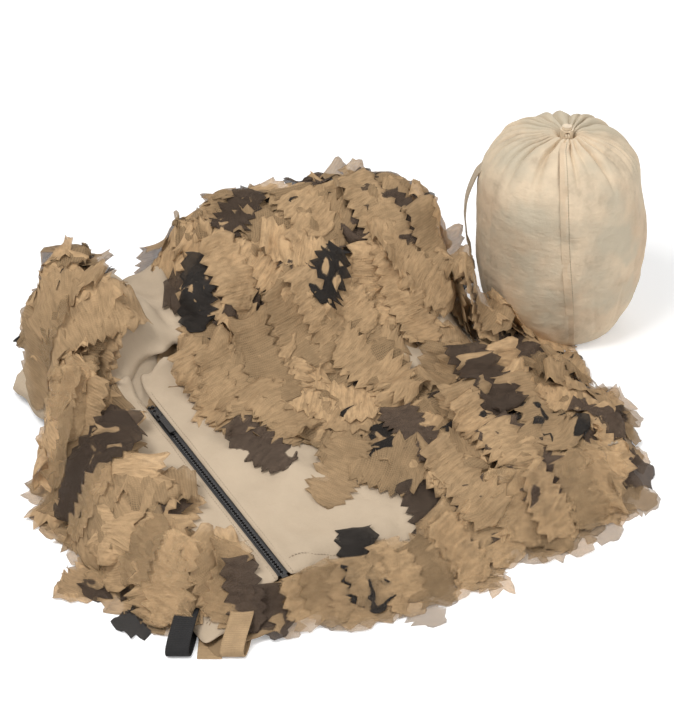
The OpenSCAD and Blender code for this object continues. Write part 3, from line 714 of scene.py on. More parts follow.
class GHILLIE_OT_stage(Operator):
    """Set up the floor, the lamps and the camera"""
    bl_idname = "ghillie.stage"
    bl_label = "Stage"

    LENS = 96.3
    DISTANCE = 2.4
    ELEVATION = math.radians(33.0)
    # Name, place from the heap's middle, size and power
    LAMPS = (
        ("key", (-0.9, -1.0, 2.2), 1.0, 45.0),
        ("fill", (1.7, -1.3, 1.4), 1.6, 20.0),
        ("back", (0.3, 2.0, 1.8), 1.8, 12.0),
    )
    SKY_LIGHT = 0.40

    def execute(self, context):
        scene = context.scene
        bm = bmesh.new()
        bmesh.ops.create_grid(bm, x_segments=2, y_segments=2, size=6.0)
        floor = new_object("floor", bm, self.floor_paint(), smooth=False)
        lens = bpy.data.cameras.new("camera")
        lens.lens = self.LENS
        lens.sensor_width = 36.0
        lens.clip_end = 30.0
        camera = bpy.data.objects.new("camera", lens)
        scene.collection.objects.link(camera)
        tilt = self.ELEVATION
        camera.location = HEAP_MIDDLE + Vector((0, -self.DISTANCE * math.cos(tilt),
                                                self.DISTANCE * math.sin(tilt)))
        camera.rotation_euler = (math.pi / 2 - tilt, 0, 0)
        scene.camera = camera
        for lamp in self.LAMPS:
            self.lamp(*lamp)
        self.sky(scene)
        scene.view_settings.view_transform = "Standard"
        return {"FINISHED"}

    def floor_paint(self):
        """Paper that shows the object's shadow and turns white further out."""
        n = Nodes("floor_paper")
        tones = [(0.0, (0.90, 0.90, 0.90)), (1.0, (0.93, 0.93, 0.93))]
        paper = n.ramp(n.noise(n.place("Object"), 3), tones)
        n.finish(paper, 1.0, specular=0.0)
        path = n.tree.nodes.new("ShaderNodeLightPath")
        n.shader.inputs["Emission Color"].default_value = (1, 1, 1, 1)
        mirrored = n.math("MAXIMUM", path.outputs["Is Glossy Ray"], path.outputs["Is Transmission Ray"])
        seen = n.math("MAXIMUM", path.outputs["Is Camera Ray"], mirrored)
        reach = n.tree.nodes.new("ShaderNodeVectorMath")
        reach.operation = "LENGTH"
        n.link(n.place("Object"), reach.inputs[0])
        far = n.tree.nodes.new("ShaderNodeMapRange")
        far.interpolation_type = "SMOOTHSTEP"
        for socket, value in (("From Min", 0.7), ("From Max", 3.0), ("To Min", 0.24), ("To Max", 1.0)):
            far.inputs[socket].default_value = value
        n.link(reach.outputs["Value"], far.inputs["Value"])
        n.link(n.math("MULTIPLY", seen, far.outputs["Result"]), n.shader.inputs["Emission Strength"])
        return n.material

    def lamp(self, name, place, size, power):
        """A square lamp aimed at the heap's middle."""
        data = bpy.data.lights.new(name, "AREA")
        data.shape = "SQUARE"
        data.size = size
        data.energy = power
        lamp = bpy.data.objects.new(name, data)
        lamp.location = HEAP_MIDDLE + Vector(place)
        lamp.rotation_euler = (-Vector(place)).to_track_quat("-Z", "Y").to_euler()
        bpy.context.scene.collection.objects.link(lamp)

    def sky(self, scene):
        """Plain light from all round, white behind the object."""
        world = bpy.data.worlds.new("studio")
        world.use_nodes = True
        tree = world.node_tree
        tree.nodes.clear()
        make, link = tree.nodes.new, tree.links.new
        out, mix = make("ShaderNodeOutputWorld"), make("ShaderNodeMixShader")
        for socket, strength in ((1, self.SKY_LIGHT), (2, 1.0)):
            light = make("ShaderNodeBackground")
            light.inputs["Color"].default_value = (1, 1, 1, 1)
            light.inputs["Strength"].default_value = strength
            link(light.outputs[0], mix.inputs[socket])
        path = make("ShaderNodeLightPath")
        seen = path.outputs["Is Camera Ray"]
        for ray in ("Is Glossy Ray", "Is Transmission Ray"):
            either = make("ShaderNodeMath")
            either.operation = "MAXIMUM"
            link(seen, either.inputs[0])
            link(path.outputs[ray], either.inputs[1])
            seen = either.outputs[0]
        link(seen, mix.inputs[0])
        link(mix.outputs[0], out.inputs["Surface"])
        scene.world = world


class GHILLIE_OT_heap(Operator):
    """Read the heap's shape from the frame and soften it into cloth"""
    bl_idname = "ghillie.heap"
    bl_label = "Heap"

    # Words in the names of the CAD pieces that lie on the cloth
    LEFT_OUT = ("strips", "fringe", "webbing", "zip_", "waist")
    # Where the cloth bunches up: place across and along the zip, reach and rise
    CRESTS = (
        ((0.310, 0.455), 0.060, 0.052),
        ((0.395, 0.395), 0.045, 0.040),
        ((0.450, 0.365), 0.030, 0.026),
        ((0.160, 0.488), 0.040, 0.048),
        ((0.085, 0.490), 0.040, 0.030),
        ((0.030, 0.500), 0.040, 0.020),
    )
    # How far the CAD's edges are softened, in cells
    SOFTEN = 4.0
    # Folds to the metre
    FOLDS = 13

    def execute(self, context):
        points, faces = [], []
        for name in sorted(NODES):
            if NODES[name]["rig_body"] != "suit" or any(word in name for word in self.LEFT_OUT):
                continue
            data = NODES[name].data
            first = len(points)
            points += [v.co.copy() for v in data.vertices]
            faces += [[first + i for i in face.vertices] for face in data.polygons]
        tree = BVHTree.FromPolygons(points, faces)
        ground = Ground(np.zeros((Ground.COUNT, Ground.COUNT)))
        xs, ys = ground.places()
        raw = np.zeros_like(xs)
        for i, j in np.ndindex(xs.shape):
            hit = tree.ray_cast(Vector((xs[i, j], ys[i, j], 1.0)), Vector((0, 0, -1)))[0]
            raw[i, j] = hit.z if hit else 0.0
        soft = blur(raw, self.SOFTEN)
        folds = context.scene.ghillie_cloth.fold_height
        relief = np.zeros_like(xs)
        for i, j in np.ndindex(xs.shape):
            here = Vector((xs[i, j] * self.FOLDS, ys[i, j] * self.FOLDS, 0.3))
            relief[i, j] = noise.noise(here) + 0.5 * noise.noise(here * 2.3)
        soft += folds * relief * smoothstep(0.03, 0.08, soft)
        x, y = from_plan(xs, ys)
        for (px, py), wide, rise in self.CRESTS:
            near = np.exp(-((x - px) ** 2 + (y - py) ** 2) / wide ** 2)
            soft += rise * near * smoothstep(0.05, 0.12, soft)
        self.keep_front(ground, soft, xs, ys)
        Laid.ground = ground
        Laid.strips = []
        return {"FINISHED"}

    def keep_front(self, ground, soft, xs, ys):
        """Keep the cloth flat beside the zip and low under its chain."""
        x, y = from_plan(xs, ys)
        flat = front_height(y, FRONT_T + 0.0002)
        off = np.maximum(np.abs(x) - TAPE_HALF, 0)
        beyond = np.maximum(np.maximum(-y, y - 0.315), 0)
        near = 1 - smoothstep(0.008, 0.045, np.hypot(off, beyond * 1.5))
        near = np.where(y < -0.004, 0, near)
        height = soft * (1 - near) + flat * near
        trough = (np.abs(x) < 0.010) & (y > 0.0) & (y < 0.312)
        ground.height = np.where(trough, flat - 0.004, height)
        ground.slopes()


class GHILLIE_OT_garments(Operator):
    """Lay the jacket's and the trousers' base cloth over the heap"""
    bl_idname = "ghillie.garments"
    bl_label = "Garments"

    THICKNESS = 0.0009
    # Height of the creases pressed into the cloth
    CREASE = 0.007
    # How far a panel may pass the CAD's box
    PROUD = 0.012
    # Pitch of the stitches, how far they lie from the hem and from the zip's edge, and their rise
    STITCH = 0.0036
    HEM_LINE = 0.020
    ZIP_LINE = 0.0045
    STITCH_RISE = 0.0008

    def sheet(self, name, corner, size, turn, nodes, finish, seed, spare=0.05, lift=0.012,
              zip_side=0, foot=None):
        """One cloth panel, cut a little larger than its place, dropped on the heap."""
        cell = bpy.context.scene.ghillie_cloth.cell
        cols, rows = int(size[0] / cell) + 1, int(size[1] / cell) + 1
        across, down = np.meshgrid(np.linspace(0, size[0], cols), np.linspace(0, size[1], rows))
        x, y = plan(corner[0] + across, corner[1] + down, TURN + turn, foot or ZIP_FOOT)
        rng = np.random.RandomState(seed)
        z, _, _ = Laid.ground.at(x, y)
        bumps = blur(rng.normal(0, 1, (rows, cols)), 1.5)
        z = z + lift * (0.4 + bumps / (np.abs(bumps).max() + 1e-6))
        start = np.stack([x, y, z], -1)[None]
        # The cloth's own size: what the surface needs, and the spare
        flat = start.copy()
        flat[..., 2] = Laid.ground.at(x, y)[0]
        held = np.zeros(start.shape[:3], bool)
        if zip_side:
            # The first two columns lie over the zip's tape
            for col in (0, 1):
                edge = col if zip_side > 0 else cols - 1 - col
                held[:, :, edge] = True
                along = from_plan(start[0, :, edge, 0], start[0, :, edge, 1])[1]
                start[0, :, edge, 2] = front_height(along, FRONT_T + 0.0014)
        mid = flat.mean((1, 2), keepdims=True)
        flat = mid + (flat - mid) * (1 + spare)
        laid = settle(start, flat, Laid.ground, held, steps=60, bend=0.3,
                                               weight=0.0018, thick=0.0008, grip=0.5, passes=6)
        grid = laid[0]
        self.crumple(grid, seed, zip_side)
        Laid.ground.lay([grid], 0.2)
        bm = bmesh.new()
        lay_grid(bm, grid, size)
        obj = new_object(name, bm, finish_of(finish))
        thicken(obj, self.THICKNESS, levels=1)
        if zip_side:
            self.hem(name, grid, size, zip_side)
        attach(obj, "suit")
        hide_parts(*nodes)
        return obj

    def crumple(self, grid, seed, zip_side):
        """Press creases into a laid panel, and keep it inside its room and under the zip."""
        across_zip, along_zip = from_plan(grid[..., 0], grid[..., 1])
        calm = smoothstep(0.012, 0.05, np.abs(across_zip) + np.clip(-along_zip, 0, 1) * 3)
        for i, j in np.ndindex(grid.shape[:2]):
            here = Vector((grid[i, j, 0] * 16 + seed, grid[i, j, 1] * 27, seed * 0.7))
            here.x += 0.8 * noise.noise(here * 0.5)
            ridge = max(0.0, 1 - abs(noise.noise(here)) * 2.2) ** 2
            small = Vector((here.x * 2.1 + 1.3 * here.y, here.y * 0.9 - here.x * 0.7, 5.0))
            ridge += 0.45 * max(0.0, 1 - abs(noise.noise(small)) * 3.0) ** 2
            grid[i, j, 2] += ridge * self.CREASE * (calm[i, j] if zip_side else 1.0)
        low, high = CAD_BOX
        for axis in (0, 1):
            grid[..., axis] = np.clip(grid[..., axis], low[axis] - self.PROUD, high[axis] + self.PROUD)
        if not zip_side:
            under = (np.abs(across_zip) < 0.019) & (along_zip > -0.016) & (along_zip < 0.322)
            most = np.minimum(grid[..., 2], front_height(along_zip, 0.011))
            grid[..., 2] = np.where(under, most, grid[..., 2])

    def hem(self, name, grid, size, zip_side):
        """Stitches along the hem and beside the zip."""
        rows, cols = grid.shape[:2]
        beside = self.ZIP_LINE / size[0]
        lines = (
            ("_hem_stitches", [self.HEM_LINE / size[1]], np.linspace(0.02, 0.98, 60)),
            ("_zip_stitches", np.linspace(0.01, 0.97, 60), [beside if zip_side > 0 else 1 - beside]),
        )
        for ending, up, across in lines:
            down, over = spline_weights(up, rows), spline_weights(across, cols)
            line = np.einsum("si,ijc,tj->stc", down, grid, over).reshape(-1, 3)
            stitches(name + ending, line + np.array((0, 0, self.STITCH_RISE)), self.STITCH,
                     finish_of("hem_thread"), "suit")

    def execute(self, context):
        # The back, shoulder and trouser-leg panels take the darkened lining colour: painted shade for the
        # gaps between the strips
        self.sheet("jacket_back_cloth", (-0.088, -0.012), (0.484, 0.344), 0, ["jacket_back_panel"],
                   "lining_painted_shade", seed=2, lift=0.003, spare=0.0)
        self.sheet("jacket_shoulder_cloth", (0.055, 0.318), (0.380, 0.212), 0, ["jacket_shoulders"],
                   "lining_painted_shade", seed=3)
        self.sheet("sleeve_right_cloth", (-0.042, 0.320), (0.104, 0.172), 0, ["jacket_sleeve_right"],
                   "cream_cloth", seed=4)
        self.sheet("sleeve_left_cloth", (0.388, 0.050), (0.074, 0.225), 0, ["jacket_sleeve_left"],
                   "cream_cloth", seed=5)
        foot, turn = Vector((*plan(*TROUSERS_FOOT), 0)), TROUSERS_TURN - TURN
        self.sheet("trousers_leg_cloth", (-0.165, -0.125), (0.345, 0.240), turn,
                   ["trousers_leg_left", "trousers_leg_right"], "lining_painted_shade", seed=6, foot=foot)
        self.sheet("trousers_seat_cloth", (-0.085, -0.085), (0.270, 0.160), turn,
                   ["trousers_seat"], "cream_cloth", seed=7, spare=0.08, foot=foot)
        self.sheet("jacket_hood_cloth", (-0.052, 0.335), (0.175, 0.180), 0, ["jacket_hood"],
                   "cream_cloth", seed=8, spare=0.08)
        self.sheet("jacket_front_left_cloth", (0.0062, 0.000), (0.398, 0.332), 0,
                   ["jacket_front_left_panel", "jacket_hem_left"], "cream_cloth", seed=9, spare=0.03,
                   zip_side=1, lift=0.006)
        self.sheet("jacket_front_right_cloth", (-0.097, 0.000), (0.0908, 0.332), 0,
                   ["jacket_front_right_panel", "jacket_hem_right"], "cream_cloth", seed=10, spare=0.03,
                   zip_side=-1, lift=0.006)
        return {"FINISHED"}


class GHILLIE_OT_strips(Operator):
    """Drop the leaf strips on the heap, layer by layer"""
    bl_idname = "ghillie.strips"
    bl_label = "Leaf strips"

    # Points along and across a falling strip
    ROWS = 15
    COLS = 5
    # How much the strips wave along their length, in radians
    WAVE = 0.42
    # How far a strip may reach past the CAD fringe
    PROUD = 0.020
    # Share of a strip's rectangle that its teeth and round end leave
    LEAF_SHARE = 0.8
    # Length of the crinkles and of the longer ripples along a strip's edges, and their heights
    CRINKLE, CRINKLE_HEIGHT = 0.0042, 0.0008
    RIPPLE, RIPPLE_HEIGHT = 0.011, 0.0017
    # Name, low and high corner across and along the zip, way the strips point, strips in a layer
    REGIONS = (
        ("fringe", (-0.05, -0.03), (0.42, 0.02), -85, 9),
        ("side", (-0.10, 0.04), (-0.06, 0.33), -170, 6),
        ("front", (0.03, 0.02), (0.40, 0.32), -75, 12),
        ("flap", (-0.09, 0.03), (-0.02, 0.32), -160, 5),
        ("sleeve", (0.40, 0.03), (0.47, 0.30), -20, 5),
        ("left_bundle", (-0.07, 0.33), (0.06, 0.53), 155, 6),
        ("hood", (-0.04, 0.35), (0.05, 0.49), 150, 2),
        ("rear", (0.08, 0.32), (0.45, 0.50), -60, 8),
        ("crest", (0.10, 0.38), (0.42, 0.53), 60, 6),
    )
    # Strips in each of the two calm layers on top
    CALM = {"front": 9, "rear": 10, "left_bundle": 5, "flap": 3, "sleeve": 3, "crest": 4}
    # Outlines of the patches where the base cloth shows
    BARE = (
        ((0.008, -0.010), (0.008, 0.225), (0.050, 0.195), (0.110, 0.130), (0.150, 0.120), (0.150, 0.035),
         (0.205, -0.010)),
        ((0.250, 0.205), (0.285, 0.265), (0.345, 0.240), (0.315, 0.185)),
        ((0.012, 0.350), (0.052, 0.338), (0.085, 0.395), (0.115, 0.450), (0.070, 0.505), (0.025, 0.430)),
        ((0.385, 0.375), (0.440, 0.375), (0.440, 0.430), (0.385, 0.430)),
    )
    # Strips laid last: place across and along the zip, way, length, width, colour, region
    CHOSEN = (
        (0.195, 0.320, -65, 0.230, 0.056, "tan", "front"),
        (0.355, 0.195, -100, 0.150, 0.060, "brown", "front"),
        (0.235, 0.155, -100, 0.110, 0.054, "brown", "front"),
        (0.055, 0.210, -65, 0.095, 0.050, "brown", "front"),
        (0.055, 0.325, -72, 0.125, 0.058, "tan", "front"),
        (0.130, 0.320, -85, 0.125, 0.056, "tan", "front"),
        (0.040, 0.332, -80, 0.095, 0.052, "tan", "front"),
        (0.044, 0.290, -68, 0.085, 0.050, "tan", "front"),
        (0.080, 0.305, -78, 0.110, 0.060, "tan", "front"),
        (0.100, 0.250, -70, 0.100, 0.060, "tan", "front"),
        (0.165, 0.130, -145, 0.105, 0.058, "tan", "front"),
        (0.225, 0.070, -70, 0.120, 0.056, "tan", "front"),
        (0.370, 0.125, -95, 0.130, 0.058, "tan", "front"),
        (0.095, 0.020, -110, 0.090, 0.050, "black", "front"),
        (0.050, 0.015, -140, 0.080, 0.056, "tan", "fringe"),
        (0.115, -0.005, -90, 0.085, 0.056, "tan", "fringe"),
        (-0.024, -0.002, -108, 0.052, 0.040, "brown", "fringe"),
        (0.010, -0.003, -92, 0.060, 0.050, "tan", "fringe"),
        (-0.010, -0.002, -100, 0.055, 0.042, "tan", "fringe"),
        (0.032, -0.003, -84, 0.068, 0.052, "tan", "fringe"),
        (0.056, -0.002, -88, 0.072, 0.056, "tan", "fringe"),
        (0.070, -0.005, -110, 0.080, 0.054, "tan", "fringe"),
        (0.044, -0.004, -95, 0.060, 0.054, "tan", "fringe"),
        (-0.012, 0.010, -110, 0.060, 0.044, "tan", "fringe"),
        (0.040, 0.000, -75, 0.080, 0.050, "tan", "fringe"),
        (0.080, -0.012, -80, 0.075, 0.054, "tan", "fringe"),
        (0.140, -0.015, -85, 0.075, 0.052, "tan", "fringe"),
        (0.180, -0.010, -70, 0.080, 0.054, "tan", "fringe"),
        (-0.034, 0.055, -125, 0.085, 0.050, "tan", "fringe"),
        (-0.040, 0.030, -100, 0.070, 0.044, "brown", "fringe"),
        (0.350, -0.005, -80, 0.080, 0.052, "tan", "fringe"),
        (0.300, -0.010, -60, 0.080, 0.052, "tan", "fringe"),
        (0.380, 0.340, -70, 0.145, 0.058, "tan", "rear"),
        (0.445, 0.370, -80, 0.130, 0.056, "tan", "rear"),
        (0.310, 0.325, -25, 0.130, 0.056, "tan", "rear"),
        (0.470, 0.180, -15, 0.075, 0.048, "tan", "sleeve"),
        (0.445, 0.110, -30, 0.080, 0.048, "tan", "sleeve"),
        (0.420, 0.070, -50, 0.070, 0.042, "brown", "sleeve"),
        (-0.100, 0.280, 155, 0.080, 0.044, "tan", "side"),
        (-0.045, 0.395, 158, 0.090, 0.048, "tan", "side"),
        (-0.100, 0.190, 155, 0.085, 0.050, "tan", "side"),
        (-0.085, 0.095, 172, 0.080, 0.052, "tan", "side"),
        (-0.080, 0.055, -165, 0.090, 0.052, "tan", "side"),
        (0.030, 0.500, 150, 0.090, 0.056, "tan", "hood"),
        (0.000, 0.480, 150, 0.110, 0.060, "tan", "left_bundle"),
        (0.000, 0.400, 135, 0.120, 0.060, "tan", "left_bundle"),
        (0.125, 0.395, -120, 0.090, 0.048, "black", "rear"),
        (-0.020, 0.245, 155, 0.100, 0.074, "brown", "flap"),
        (-0.020, 0.180, 165, 0.090, 0.066, "brown", "flap"),
        (0.135, 0.480, -25, 0.060, 0.050, "tan", "rear"),
        (0.225, 0.445, -155, 0.080, 0.052, "brown", "rear"),
        (0.290, 0.455, 20, 0.070, 0.056, "brown", "rear"),
        (0.265, 0.475, 130, 0.070, 0.056, "brown", "rear"),
        (0.355, 0.450, -55, 0.120, 0.060, "tan", "rear"),
        (0.245, 0.465, -70, 0.120, 0.060, "tan", "rear"),
        (0.435, 0.410, -80, 0.070, 0.050, "brown", "rear"),
        (0.450, 0.395, -60, 0.065, 0.048, "black", "rear"),
        (0.165, 0.520, 165, 0.100, 0.044, "black", "rear"),
        (0.195, 0.380, -35, 0.110, 0.060, "tan", "rear"),
        (0.270, 0.325, -170, 0.080, 0.050, "black", "rear"),
        (0.120, 0.440, -60, 0.085, 0.058, "tan", "rear"),
        (0.140, 0.400, -75, 0.090, 0.058, "tan", "rear"),
        (0.330, 0.400, -80, 0.120, 0.060, "tan", "rear"),
        (0.405, 0.290, -60, 0.120, 0.058, "tan", "front"),
        (0.290, 0.110, -75, 0.130, 0.058, "tan", "front"),
    )

    def bare(self, x, y):
        """Whether a place across and along the zip is left without strips."""
        inside = np.zeros(np.shape(x), bool)
        for patch in self.BARE:
            odd = np.zeros(np.shape(x), bool)
            for (ax, ay), (bx, by) in zip(patch, patch[1:] + patch[:1]):
                crosses = (ay > y) != (by > y)
                cut = ax + (y - ay) * (bx - ax) / (by - ay + 1e-12)
                odd ^= crosses & (x < cut)
            inside |= odd
        return inside

    def on_zip_path(self, x, y):
        """Whether a place lies on the slider's path."""
        return (np.abs(x) < TAPE_HALF) & (y > 0.001) & (y < 0.310)

    def spring_up(self, roots, length, width, lift, curl, waves, phases, roll, drift, cup):
        """Strips as they stand before they fall: roots hold x, y and heading."""
        s = np.linspace(0, 1, self.ROWS)
        t = np.linspace(-0.5, 0.5, self.COLS)
        heading = roots[:, 2, None] + drift[:, None] * s
        pitch = lift[:, None] - curl[:, None] * s
        pitch = pitch + self.WAVE * np.sin(waves[:, None] * s + phases[:, None])
        step = length[:, None] / (self.ROWS - 1)
        ahead = [np.cos(pitch) * np.cos(heading), np.cos(pitch) * np.sin(heading), np.sin(pitch)]
        line = np.stack(ahead, -1) * step[..., None]
        line = np.cumsum(line, 1) - line[:, :1]
        side = np.stack([-np.sin(heading), np.cos(heading), np.zeros_like(heading)], -1)
        above = [-np.sin(pitch) * np.cos(heading), -np.sin(pitch) * np.sin(heading), np.cos(pitch)]
        up = np.stack(above, -1)
        lean = (roll[:, None] * s)[..., None]
        side = side * np.cos(lean) + up * np.sin(lean)
        z = Laid.ground.at(roots[:, 0], roots[:, 1])[0]
        root = np.stack([roots[:, 0], roots[:, 1], z + 0.002], -1)
        over = t[None, None, :, None] * width[:, None, None, None]
        grid = root[:, None, None] + line[:, :, None] + side[:, :, None] * over
        hollow = cup[:, None, None] * (t[None, None] ** 2 - 0.1) * s[None, :, None]
        grid += up[:, :, None] * hollow[..., None]
        return grid

    def drop(self, roots, length, colours, kinds, rng, width=None, lift=None, curl=None,
             chosen=False, calm=False):
        """Drop one layer, and keep the strips that stay clear of the zip."""
        look = bpy.context.scene.ghillie_strips
        batch = len(length)
        width = rng.uniform(0.86, 1.14, batch) * look.width if width is None else width
        lift = rng.uniform(0.2, 1.2, batch) if lift is None else lift
        curl = rng.uniform(-0.6, 2.6, batch) if curl is None else curl
        waves = rng.uniform(5, 13, batch)
        phases = rng.uniform(0, FULL_TURN, batch)
        wild = 0.35 if chosen or calm else 1.0
        roll = wild * rng.uniform(-1.1, 1.1, batch)
        drift = wild * rng.uniform(-0.8, 0.8, batch)
        cup = rng.uniform(-0.14, 0.18, batch)
        start = self.spring_up(roots, length, width, lift, curl, waves, phases, roll, drift, cup)
        # Each strip is sewn down by its first two rows
        held = np.zeros(start.shape[:3], bool)
        held[:, :2] = True
        laid = settle(start, start, Laid.ground, held, steps=48, bend=0.40,
                                               weight=0.0017)
        x, y = from_plan(laid[..., 0], laid[..., 1])
        clear = ~self.on_zip_path(x, y).any((1, 2))
        if not chosen:
            clear &= self.bare(x, y).mean((1, 2)) < 0.25
        limits = (
            (0, 1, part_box("fringe_side")[0].x),
            (1, 1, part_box("fringe_front")[0].y),
            (0, -1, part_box("fringe_sleeve")[1].x),
            (1, -1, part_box("trousers_leg_right")[1].y + 0.05),
        )
        for axis, way, limit in limits:
            clear &= (way * (laid[..., axis] - limit) > -self.PROUD).all((1, 2))
        kept = [k for k in range(batch) if clear[k]]
        Laid.ground.lay([laid[k] for k in kept])
        for k in kept:
            Laid.strips.append({"grid": laid[k], "length": length[k], "width": width[k],
                                "colour": colours[k], "kind": kinds[k]})

    def colour_at(self, x, y, rng):
        """Mostly tan, with brown and black where the suit shows them."""
        dark = 0.10
        if 0.26 < x < 0.42 and 0.02 < y < 0.20:
            dark = 0.30
        if 0.02 < x < 0.20 and y > 0.33:
            dark = 0.25
        if x > 0.39 or y > 0.40:
            dark = 0.22
        pick = rng.uniform()
        if pick < dark:
            return "brown" if pick > dark * 0.25 else "black"
        return "tan"

    def execute(self, context):
        look = context.scene.ghillie_strips
        rng = np.random.RandomState(look.seed)
        for _ in range(look.layers):
            roots, length, colours, kinds = [], [], [], []
            for name, low, high, way, count in self.REGIONS:
                for _ in range(count):
                    x, y = rng.uniform(low[0], high[0]), rng.uniform(low[1], high[1])
                    if self.bare(np.array([x]), np.array([y]))[0]:
                        continue
                    turn = math.radians(way + rng.normal(0, 38)) + TURN
                    roots.append((*plan(x, y), turn))
                    short = 0.72 if name in ("side", "fringe") else 1
                    length.append(look.length * rng.uniform(0.7, 1.3) * short)
                    colours.append(self.colour_at(x, y, rng))
                    kinds.append(name)
            self.drop(np.array(roots), np.array(length), colours, kinds, rng)
        for _ in range(2):
            roots, length, colours, kinds = [], [], [], []
            for name, low, high, way, _ in self.REGIONS:
                for _ in range(self.CALM.get(name, 0)):
                    x, y = rng.uniform(low[0], high[0]), rng.uniform(low[1], high[1])
                    roots.append((*plan(x, y), math.radians(way + rng.normal(0, 30)) + TURN))
                    length.append(rng.uniform(0.10, 0.155))
                    colours.append("brown" if rng.uniform() < 0.08 else "tan")
                    kinds.append(name)
            count = len(length)
            self.drop(np.array(roots), np.array(length), colours, kinds, rng,
                      width=rng.uniform(0.056, 0.072, count), lift=rng.uniform(0.1, 0.6, count),
                      curl=rng.uniform(0.2, 1.4, count), calm=True)
        for first in (0, 1):
            some = self.CHOSEN[first::2]
            roots = np.array([(*plan(x, y), math.radians(way) + TURN) for x, y, way, *_ in some])
            _, _, _, length, width, colours, kinds = zip(*some)
            self.drop(roots, np.array(length), colours, kinds, rng, width=np.array(width),
                      lift=rng.uniform(0.2, 0.7, len(some)), curl=rng.uniform(0.3, 1.6, len(some)),
                      chosen=True)
        self.meshes(rng)
        return {"FINISHED"}

    def node_for(self, strip):
        """The CAD strips that a laid strip stands for."""
        kind, colour = strip["kind"], strip["colour"]
        if kind == "fringe":
            return "fringe_front"
        if kind == "side":
            return "fringe_side"
        if kind == "sleeve":
            low = strip["grid"][..., 2].mean() < 0.03
            return "fringe_sleeve" if low else "sleeve_strips_" + ("tan" if colour == "tan" else "brown")
        if kind in ("left_bundle", "hood"):
            return "hood_strips_tan" if colour == "tan" else "flap_strips_brown"
        if kind == "front":
            return "front_strips_" + colour
        if kind == "flap":
            return "flap_strips_" + ("tan" if colour == "tan" else "brown")
        return "rear_strips_" + colour

    def meshes(self, rng):
        """Make one object for each group of strips."""
        look = bpy.context.scene.ghillie_strips
        groups = {}
        for strip in Laid.strips:
            groups.setdefault(self.node_for(strip), []).append(strip)
        missing = [n for n in NODES if ("strips" in n or "fringe" in n) and n not in groups]
        if missing:
            raise RuntimeError(f"no strips were laid for {missing}")
        paints = ["tan", "brown", "black"]
        for node in sorted(groups):
            bm = bmesh.new()
            total, area, widest = 0.0, 0.0, 0.0
            for strip in groups[node]:
                made = self.leaf(bm, strip, look, rng)
                paint = paints.index(strip["colour"])
                for face in {face for v in made for face in v.link_faces}:
                    face.material_index = paint
                total += strip["length"]
                area += strip["length"] * strip["width"] * self.LEAF_SHARE
                widest = max(widest, strip["width"])
            tan = "pale_mesh" if "fringe" in node else "tan_mesh"
            name = node.replace("strips", "leaf_strips").replace("fringe", "leaf_fringe")
            obj = new_object(name, bm, [finish_of(slot) for slot in (tan, "brown_mesh", "black_mesh")])
            thicken(obj, look.thickness)
            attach(obj, "suit")
            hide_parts(node)

    def leaf(self, bm, strip, look, rng):
        """One toothed leaf strip on its laid grid."""
        teeth = max(4, round(strip["length"] / look.tooth))
        rows, cols = 4 * teeth, 8
        s = np.linspace(0, 1, rows + 1)
        t = np.linspace(-1, 1, cols + 1)
        round_end = 0.5 * strip["width"] / strip["length"]
        past = np.clip(s - 1 + round_end, 0, None) / round_end
        taper = np.sqrt(np.clip(1 - past ** 2 * 0.9, 0.02, 1))
        taper *= 0.8 + 0.2 * np.clip(s * 8, 0, 1)
        sides = []
        for _ in (-1, 1):
            # A draw with no use, which keeps the later ones in their order
            rng.uniform(0, 1)
            cut = 1 - np.abs(2 * ((s * teeth) % 1) - 1)
            depth = look.tooth_depth / (strip["width"] / 2) * rng.uniform(0.8, 1.15)
            sides.append(taper * (1 - depth * cut))
        reach = np.where(t[None] < 0, -t[None] * -sides[0][:, None], t[None] * sides[1][:, None])
        weights = spline_weights((reach + 1) / 2, self.COLS)
        down = spline_weights(s, self.ROWS)
        line = np.einsum("si,ijc->sjc", down, strip["grid"])
        grid = np.einsum("stj,sjc->stc", weights, line)
        over = np.gradient(grid, axis=1)
        on = np.gradient(grid, axis=0)
        out = np.cross(over, on)
        out /= np.linalg.norm(out, axis=-1, keepdims=True) + 1e-9
        a, b, c = rng.uniform(0, FULL_TURN, 3)
        metres = s[:, None] * strip["length"]
        wave = np.sin(metres / self.CRINKLE + a + 2.2 * np.sin(t[None] * 1.7 + b))
        wave = wave * (0.3 + 0.7 * np.abs(t[None]))
        ripple = np.sin(metres / self.RIPPLE + c + 1.5 * t[None]) * np.abs(t[None])
        amount = self.CRINKLE_HEIGHT * wave + self.RIPPLE_HEIGHT * ripple
        grid = grid + out * amount[..., None]
        grid[..., 2] = np.maximum(grid[..., 2], 0.0006)
        return lay_grid(bm, grid, (strip["width"], strip["length"]), tone=rng.uniform(0.1, 0.95),
                        uv_offset=tuple(rng.uniform(0, 3, 2)))


class GHILLIE_OT_zip(Operator):
    """Finish the zip and the guard under it"""
    bl_idname = "ghillie.zip"
    bl_label = "Zip"

    GUARD_SIZE = (0.032, 0.304)
    # How far the guard lies under the front's face, and how steeply its sides fall away
    GUARD_DEPTH = 0.0052
    GUARD_FALL = 0.2

    def execute(self, context):
        for node in ("zip_tape_left", "zip_tape_right"):
            dress(node, "zip_tape")
        for node in ("zip_chain_left", "zip_chain_right"):
            dress(node, "zip_coil")
        for node in ("zip_bottom_stop", "zip_top_stops", "zip_slider", "zip_pull"):
            dress(node, "zip_metal")
        across, along = np.linspace(-0.016, 0.016, 9), np.linspace(0.002, 0.306, 40)
        grid = np.array([[on_zip(x, y, FRONT_T - self.GUARD_DEPTH - self.GUARD_FALL * abs(x))
                          for x in across] for y in along])
        bm = bmesh.new()
        lay_grid(bm, grid, self.GUARD_SIZE)
        guard = new_object("zip_guard", bm, finish_of("dark_cloth"))
        thicken(guard, 0.0006)
        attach(guard, "suit")
        return {"FINISHED"}


